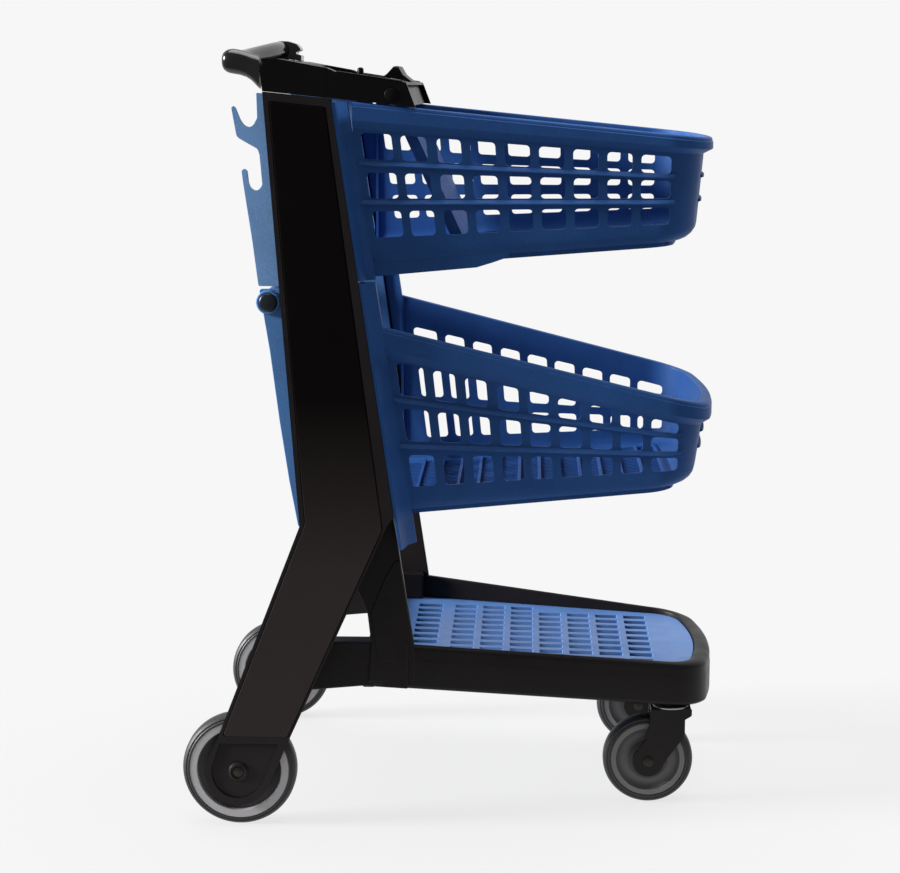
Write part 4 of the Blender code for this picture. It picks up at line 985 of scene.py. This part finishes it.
def make_console_fittings():
    top, lift = CONSOLE_TOP, 0.0004
    clip = [(-0.1005, on(top, -0.1005) + lift), (-0.0615, on(top, -0.0615) + lift), (-0.0650, 0.9665),
            (-0.0737, 0.9735), (-0.0800, 0.9846), (-0.0862, 0.9842), (-0.0950, 0.9745)]
    bm = bmesh.new()
    rings = []
    outline = rounded(clip, [0.001, 0.001, 0.008, 0.006, 0.003, 0.004, 0.010], 5)
    for y in (-0.0500, -0.0485, -0.0450, 0.0450, 0.0485, 0.0500):
        shrink = {0.0500: 0.90, 0.0485: 0.97, 0.0450: 1.0}[round(abs(y), 4)]
        rings.append([(x, y, on(top, x) + lift + (z - on(top, x) - lift) * shrink) for x, z in outline])
    add_loft(bm, rings)
    clip_piece = solid("list_clip_moulding", bm)
    dress(clip_piece, CONSOLE, "console_black", "root", "list_clip")
    low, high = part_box("tray_peg")
    centre = ((low.x + high.x) / 2, (low.y + high.y) / 2, 0.0)
    peg = [(0.0002, low.z), (0.0045, low.z), (0.0045, high.z - 0.0028), (0.0036, high.z - 0.0012),
           (0.0018, high.z - 0.0002), (0.0002, high.z)]
    turned("peg", peg, centre, "Z", CONSOLE, "console_black", "root", "tray_peg", steps=40)


# ---- handle ---------------------------------------------------------------------------------------
def bar_centre(t):
    """Middle line of the grip, from its left end at t = -1 over its raised middle to t = 1."""
    rise = 0.5 + 0.5 * math.cos(math.pi * t)
    x = HANDLE_END[0] + (HANDLE_MID[0] - HANDLE_END[0]) * rise
    z = HANDLE_END[2] + (HANDLE_MID[2] - HANDLE_END[2]) * rise
    return Vector((x, -t * (HANDLE_END[1] - 0.016), z))


def oval(x, y, z, wide, tall, sides=40):
    return [(x, y + wide * math.cos(a), z + tall * math.sin(a))
            for a in (2 * math.pi * k / sides for k in range(sides))]


def make_handle():
    for name, side in SIDES.items():
        y = side * (HANDLE_END[1] - 0.001)
        stations = [(-0.2929, 0.0030, 0.0035, 0.9896), (-0.2924, 0.0060, 0.0070, 0.9896),
                    (-0.2905, 0.0092, 0.0108, 0.9895), (-0.2870, 0.0113, 0.0135, 0.9894),
                    (-0.2830, 0.0122, 0.0150, 0.9893), (-0.2780, 0.0125, 0.0157, 0.9891),
                    (-0.2700, 0.0124, 0.0157, 0.9878), (-0.2620, 0.0122, 0.0158, 0.9852),
                    (-0.2560, 0.0123, 0.0168, 0.9822), (-0.2510, 0.0127, 0.0186, 0.9790),
                    (-0.2475, 0.0131, 0.0200, 0.9766), (-0.2447, 0.0134, 0.0203, 0.9748)]
        bm = bmesh.new()
        add_loft(bm, [oval(x, y, z, wide, tall) for x, wide, tall, z in stations])
        dress(solid("handle_arm_" + name, bm), HANDLE, "handle_black", "root", "handle_end_" + name)
    room = (HANDLE_HALF + 0.0018) / (HANDLE_END[1] - 0.016)
    for name, first, last in (("left", -1.0, -room), ("right", room, 1.0)):
        bm = bmesh.new()
        rings = []
        for t in spaced(first, last, 36):
            centre = bar_centre(t)
            along = (bar_centre(t + 0.01) - bar_centre(t - 0.01)).normalized()
            across = along.cross(Vector((0, 0, 1))).normalized()
            up = across.cross(along)
            rings.append([centre + HANDLE_RADIUS * (math.cos(a) * across + math.sin(a) * up)
                          for a in (2 * math.pi * k / 40 for k in range(40))])
        add_loft(bm, rings)
        dress(solid("handle_bar_" + name, bm), HANDLE, "handle_black", "root", "handle_grip_" + name)
    top = raised(CONSOLE_TOP, 0.0006)
    block = [(-0.2530, 1.0040), (-0.2500, 1.0120), (-0.2430, 1.0178), (-0.2300, 1.0175), (-0.2185, 1.0140),
             (-0.2120, 1.0060), (-0.2190, 1.0035), (-0.2190, 1.0005), (-0.2120, 0.9990),
             (-0.2125, on(top, -0.2125)), (-0.2240, on(top, -0.2240)), (-0.2360, 0.9945), (-0.2480, 0.9955)]
    middle = prism("handle_block", rounded(block, [0.004, 0.008, 0.008, 0.008, 0.006, 0.002, 0.001, 0.001, 0.002, 0.001,
                                                   0.002, 0.003, 0.004], 4), -HANDLE_HALF, HANDLE_HALF)
    soften(middle, 0.0022, 4)
    dress(middle, HANDLE, "handle_black", "root", "handle_centre", smooth=False)


# ---- wheels -----------------------------------------------------------------------------------------
def tyre_profile(radius, half, seat):
    """Rounded tread with a fine step on each flank, from one flank over the tread to the other."""
    flank = [(seat, half), (seat + 0.0012, half), (radius - 0.0072, half - 0.0004), (radius - 0.0064, half - 0.0014),
             (radius - 0.0056, half - 0.0014), (radius - 0.0046, half - 0.0010), (radius - 0.0026, half - 0.0022),
             (radius - 0.0010, half - 0.0048), (radius, half - 0.0082)]
    return [(r, -y) for r, y in flank] + flank[::-1]


def ring_profile(inner, outer, half, depth):
    """Rim ring: a flat band on each face with rounded edges and a bore wall between them."""
    edge = 0.0008
    face = [(outer, half - edge), (outer - edge, half), (inner + edge, half), (inner, half - edge),
            (inner - 0.0004, half - depth)]
    return face + [(r, -y) for r, y in face[::-1]]


def dish_profile(bore, hub, outer, half, hub_face, low):
    """Disc that dips between a raised hub and the rim."""
    steps = 8
    dip = []
    for i in range(steps + 1):
        t = i / steps
        radius = hub + (outer - hub) * t
        dip.append((radius, low + (half - low) * (abs(2 * t - 1.0) ** 2.6)))
    face = [(bore, hub_face), (hub - 0.0015, hub_face), *dip]
    return face + [(r, -y) for r, y in face[::-1]]


def make_rear_wheel(name, side):
    hub, body = mirrored(REAR_HUB, side), "rear_wheel_" + name
    half = 0.0135
    turned("rear_tyre_tread_" + name, tyre_profile(REAR_RADIUS, half, 0.0658), hub, "Y", RUBBER,
           "tyre_rubber", body,
           "rear_tyre_" + name, steps=112)
    turned("rear_rim_ring_" + name, ring_profile(0.0552, 0.0656, half - 0.0006, 0.0060), hub, "Y", RING_GREY,
           "wheel_grey", body, "rear_hub_" + name, steps=112)
    turned("rear_wheel_disc_" + name, dish_profile(0.0088, 0.0200, 0.0549, 0.0070, 0.0110, 0.0048), hub, "Y",
           DISC_DARK, "wheel_grey", body, steps=96)
    sleeve = [(0.0055, -0.0120), (0.0080, -0.0120), (0.0085, -0.0114), (0.0085, 0.0114), (0.0080, 0.0120),
              (0.0055, 0.0120)]
    turned("rear_sleeve_" + name, sleeve, hub, "Y", STEEL, "steel", body, "rear_bush_" + name, steps=40)

    seat = side * (outer_y(REAR_RADIUS) - abs(hub.y) - 0.0030)
    out = lambda value: seat + side * value
    shank = side * (LEG_INNER_Y - abs(hub.y) - 0.0095)
    bolt = [(0.0003, shank), (0.0045, shank), (0.0050, shank + side * 0.0006),
            (0.0050, out(0.0006)), (0.0100, out(0.0004)),
            (0.0130, out(0.0004)), (0.0128, out(0.0016)), (0.0112, out(0.0028)), (0.0098, out(0.0034)),
            (0.0090, out(0.0030)), (0.0086, out(0.0014)), (0.0003, out(0.0013))]
    turned("rear_bolt_" + name, bolt, hub, "Y", BLACK, "fastener_black", "root", "rear_axle_bolt_" + name)
    pin = [(0.0003, out(0.0012)), (0.0072, out(0.0012)), (0.0072, out(0.0020)), (0.0062, out(0.0026)),
           (0.0003, out(0.0028))]
    turned("rear_bolt_core_" + name, pin, hub, "Y", BOLT, "fastener_black", "root", steps=6)
    inner = side * (LEG_INNER_Y - abs(hub.y) - 0.0004)
    nut = [(0.0054, inner), (0.0096, inner), (0.0102, inner - side * 0.0006), (0.0102, inner - side * 0.0066),
           (0.0094, inner - side * 0.0074), (0.0054, inner - side * 0.0074)]
    bm = bmesh.new()
    add_turned(bm, nut, hub, "Y", 6)
    dress(solid("rear_nut_" + name, bm), STEEL, "steel", "root", "rear_axle_nut_" + name)


FORK_REAR = [(0.2845, 0.1330), (0.2620, 0.1330), (0.2620, 0.1120), (0.2490, 0.0780)]
FORK_FRONT = [(0.2835, 0.1330), (0.2835, 0.0620), (0.3035, 0.0880), (0.3090, 0.0980), (0.3090, 0.1180),
              (0.3180, 0.1230), (0.3180, 0.1330)]


def make_caster(name, side):
    swivel, hub = mirrored(SWIVEL, side), mirrored(CASTER_HUB, side)
    swing, wheel = "caster_" + name, "caster_wheel_" + name
    half, cheek = 0.0130, 0.0215
    gap = half + 0.0025
    y = hub.y
    end = arc((hub.x, hub.z), 0.0210, 165.0, 350.0, 28)
    ending = [p for p in end if p[0] <= 0.2845]
    rear_part = rounded(FORK_REAR, [0.0, 0.002, 0.006, 0.010]) + ending + [(0.2845, 0.0620)]
    parts = []
    for k in (1.0, -1.0):
        front_part = rounded(FORK_FRONT, [0.0, 0.0, 0.006, 0.006, 0.002, 0.003, 0.002])
        for outline, slope in ((rear_part, 0.0), (front_part, 0.16)):
            outer = lambda x, z, s=slope, k=k: y + k * (cheek - s * max(0.0, x - 0.2840))
            plate = prism("cheek", outline, outer, y + k * gap)
            soften(plate, 0.0008, 3)
            parts.append(plate)
    crown = prism("fork_crown_" + name, rounded([(0.2630, 0.1249), (0.3170, 0.1249), (0.3170, 0.1330), (0.2630, 0.1330)],
                                                0.001), y - gap - 0.001, y + gap + 0.001)
    hole = bmesh.new()
    add_turned(hole, [(0.0063, 0.10), (0.0063, 0.15)], (swivel.x, swivel.y, 0.0), "Z", 40, False)
    cut(crown, solid("eye", hole))
    soften(crown, 0.0005, 2)
    join(crown, parts)
    dress(crown, BLACK, "black_plastic", swing, "caster_fork_" + name, smooth=False)

    turned("caster_tyre_tread_" + name, tyre_profile(CASTER_RADIUS, half, 0.0506), hub, "Y", RUBBER,
           "tyre_rubber", wheel,
           "caster_tyre_" + name, steps=96)
    turned("caster_rim_ring_" + name, ring_profile(0.0424, 0.0504, half - 0.0008, 0.0050), hub, "Y", RING_DARK,
           "caster_grey", wheel, "caster_hub_" + name, steps=96)
    turned("caster_dish_" + name, dish_profile(0.0073, 0.0240, 0.0421, 0.0100, 0.0100, 0.0050), hub, "Y", DISC_GREY,
           "caster_grey", wheel, steps=96)
    for k in (1.0, -1.0):
        guard = [(0.0075, k * 0.0102), (0.0250, k * 0.0102), (0.0262, k * 0.0108), (0.0262, k * 0.0122),
                 (0.0250, k * 0.0131), (0.0170, k * 0.0135), (0.0075, k * 0.0135)]
        turned("thread_guard_{}_{}".format(name, "outer" if k == side else "inner"), guard, hub, "Y", DISC_DARK,
               "caster_grey", wheel, steps=72)
    sleeve = [(0.0045, -0.0116), (0.0066, -0.0116), (0.0070, -0.0112), (0.0070, 0.0112), (0.0066, 0.0116),
              (0.0045, 0.0116)]
    turned("caster_sleeve_" + name, sleeve, hub, "Y", STEEL, "steel", wheel, "caster_bush_" + name, steps=40)
    far = cheek + 0.0025
    bolt = [(0.0003, -far), (0.0058, -far), (0.0068, 0.0006 - far), (0.0070, 0.0014 - far),
            (0.0070, -cheek - GAP),
            (0.0040, -cheek - GAP), (0.0040, cheek + GAP), (0.0070, cheek + GAP), (0.0070, far - 0.0014),
            (0.0068, far - 0.0006), (0.0058, far), (0.0044, far), (0.0040, far - 0.0008), (0.0003, far - 0.0008)]
    turned("caster_bolt_" + name, bolt, hub, "Y", BOLT, "fastener_black", swing, "caster_axle_" + name, steps=48)
    ceiling = on(BASE_FOOT, swivel.x) - 0.0030
    race = [(0.0065, 0.1334), (0.0236, 0.1334), (0.0240, 0.1338), (0.0240, 0.1350), (0.0225, ceiling),
            (0.0065, ceiling)]
    turned("swivel_race_" + name, race, (swivel.x, swivel.y, 0.0), "Z", STEEL, "steel", "root",
           "caster_bearing_" + name)
    low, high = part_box("caster_stem_" + name)
    stem = [(0.0003, low.z), (0.0090, low.z), (0.0100, low.z + 0.0008), (0.0100, low.z + 0.0030),
            (0.0060, low.z + 0.0030), (0.0060, high.z - 0.0010), (0.0052, high.z), (0.0003, high.z)]
    turned("king_pin_" + name, stem, (swivel.x, swivel.y, 0.0), "Z", STEEL, "steel", "root",
           "caster_stem_" + name, steps=48)


# ---- studio -----------------------------------------------------------------------------------------
def make_studio():
    bm = bmesh.new()
    bmesh.ops.create_circle(bm, cap_ends=True, segments=96, radius=FLOOR_RADIUS)
    floor = solid("studio_floor", bm)
    floor.location = FLOOR_CENTRE
    mat = bpy.data.materials.new("floor_white")
    mat.use_nodes = True
    shader = mat.node_tree.nodes["Principled BSDF"]
    shader.inputs["Base Color"].default_value = (FLOOR_ALBEDO, FLOOR_ALBEDO, FLOOR_ALBEDO, 1.0)
    shader.inputs["Roughness"].default_value = 0.9
    shader.inputs["Specular IOR Level"].default_value = 0.0
    shader.inputs["Emission Color"].default_value = (1.0, 1.0, 1.0, 1.0)
    shader.inputs["Emission Strength"].default_value = FLOOR_GLOW
    floor.data.materials.append(mat)

    for name, source, strength, angle in SUNS:
        light = bpy.data.lights.new(name, "SUN")
        light.energy = strength
        light.angle = math.radians(angle)
        lamp = bpy.data.objects.new(name, light)
        lamp.rotation_euler = (-Vector(source)).to_track_quat("-Z", "Y").to_euler()
        bpy.context.scene.collection.objects.link(lamp)
    make_world()


FLOOR_RADIUS, FLOOR_CENTRE = 1.60, (0.0, 0.90, 0.0)
FLOOR_ALBEDO, FLOOR_GLOW = 0.10, 0.750
SUNS = [("top_softbox", (0.05, 0.10, 1.0), 2.2, 50.0),
        ("rear_softbox", (-1.0, -0.14, 0.33), 7.0, 14.0)]
BACKDROP = 0.93              # brightness that the camera sees behind the trolley
DARK_SIDE = 0.22             # what the studio reflects in front of the trolley
BRIGHT_SIDE = 0.80           # and behind it


def make_world():
    """White where the camera looks; for light, bright behind the trolley and dark in front of it."""
    world = bpy.data.worlds.new("studio")
    bpy.context.scene.world = world
    world.use_nodes = True
    tree = world.node_tree
    tree.nodes.clear()
    place = tree.nodes.new("ShaderNodeTexCoord")
    split = tree.nodes.new("ShaderNodeSeparateXYZ")
    link(tree, place.outputs["Generated"], split.inputs[0])
    side = spread(tree, split.outputs["Y"], DARK_SIDE, BRIGHT_SIDE, -0.2, 0.7)
    light = tree.nodes.new("ShaderNodeBackground")
    light.inputs["Color"].default_value = (1.0, 1.0, 1.0, 1.0)
    link(tree, side, light.inputs["Strength"])
    shown = tree.nodes.new("ShaderNodeBackground")
    shown.inputs["Color"].default_value = (1.0, 1.0, 1.0, 1.0)
    shown.inputs["Strength"].default_value = BACKDROP
    path = tree.nodes.new("ShaderNodeLightPath")
    mix = tree.nodes.new("ShaderNodeMixShader")
    link(tree, path.outputs["Is Camera Ray"], mix.inputs[0])
    link(tree, light.outputs[0], mix.inputs[1])
    link(tree, shown.outputs[0], mix.inputs[2])
    out = tree.nodes.new("ShaderNodeOutputWorld")
    link(tree, mix.outputs[0], out.inputs["Surface"])


def make_camera():
    camera = bpy.data.cameras.new("camera")
    camera.sensor_width = 36.0
    camera.lens = 83.5
    camera.clip_end = 60.0
    view = bpy.data.objects.new("camera", camera)
    view.location = (0.0949, -2.8594, 0.9608)
    view.rotation_euler = (math.radians(90.0 - 9.584), 0.0, math.radians(2.158))
    bpy.context.scene.collection.objects.link(view)
    bpy.context.scene.camera = view


# ---- the whole trolley --------------------------------------------------------------------------------
make_camera()
bpy.context.scene.view_settings.view_transform = "Standard"
make_base()
make_platform()
make_basket("upper_basket", UPPER)
make_basket("lower_basket", LOWER)
make_gates()
make_console()
make_console_fittings()
make_handle()
for side_name, side_sign in SIDES.items():
    make_side(side_name, side_sign)
    make_plates(side_name, side_sign)
    make_rear_wheel(side_name, side_sign)
    make_caster(side_name, side_sign)
make_studio()
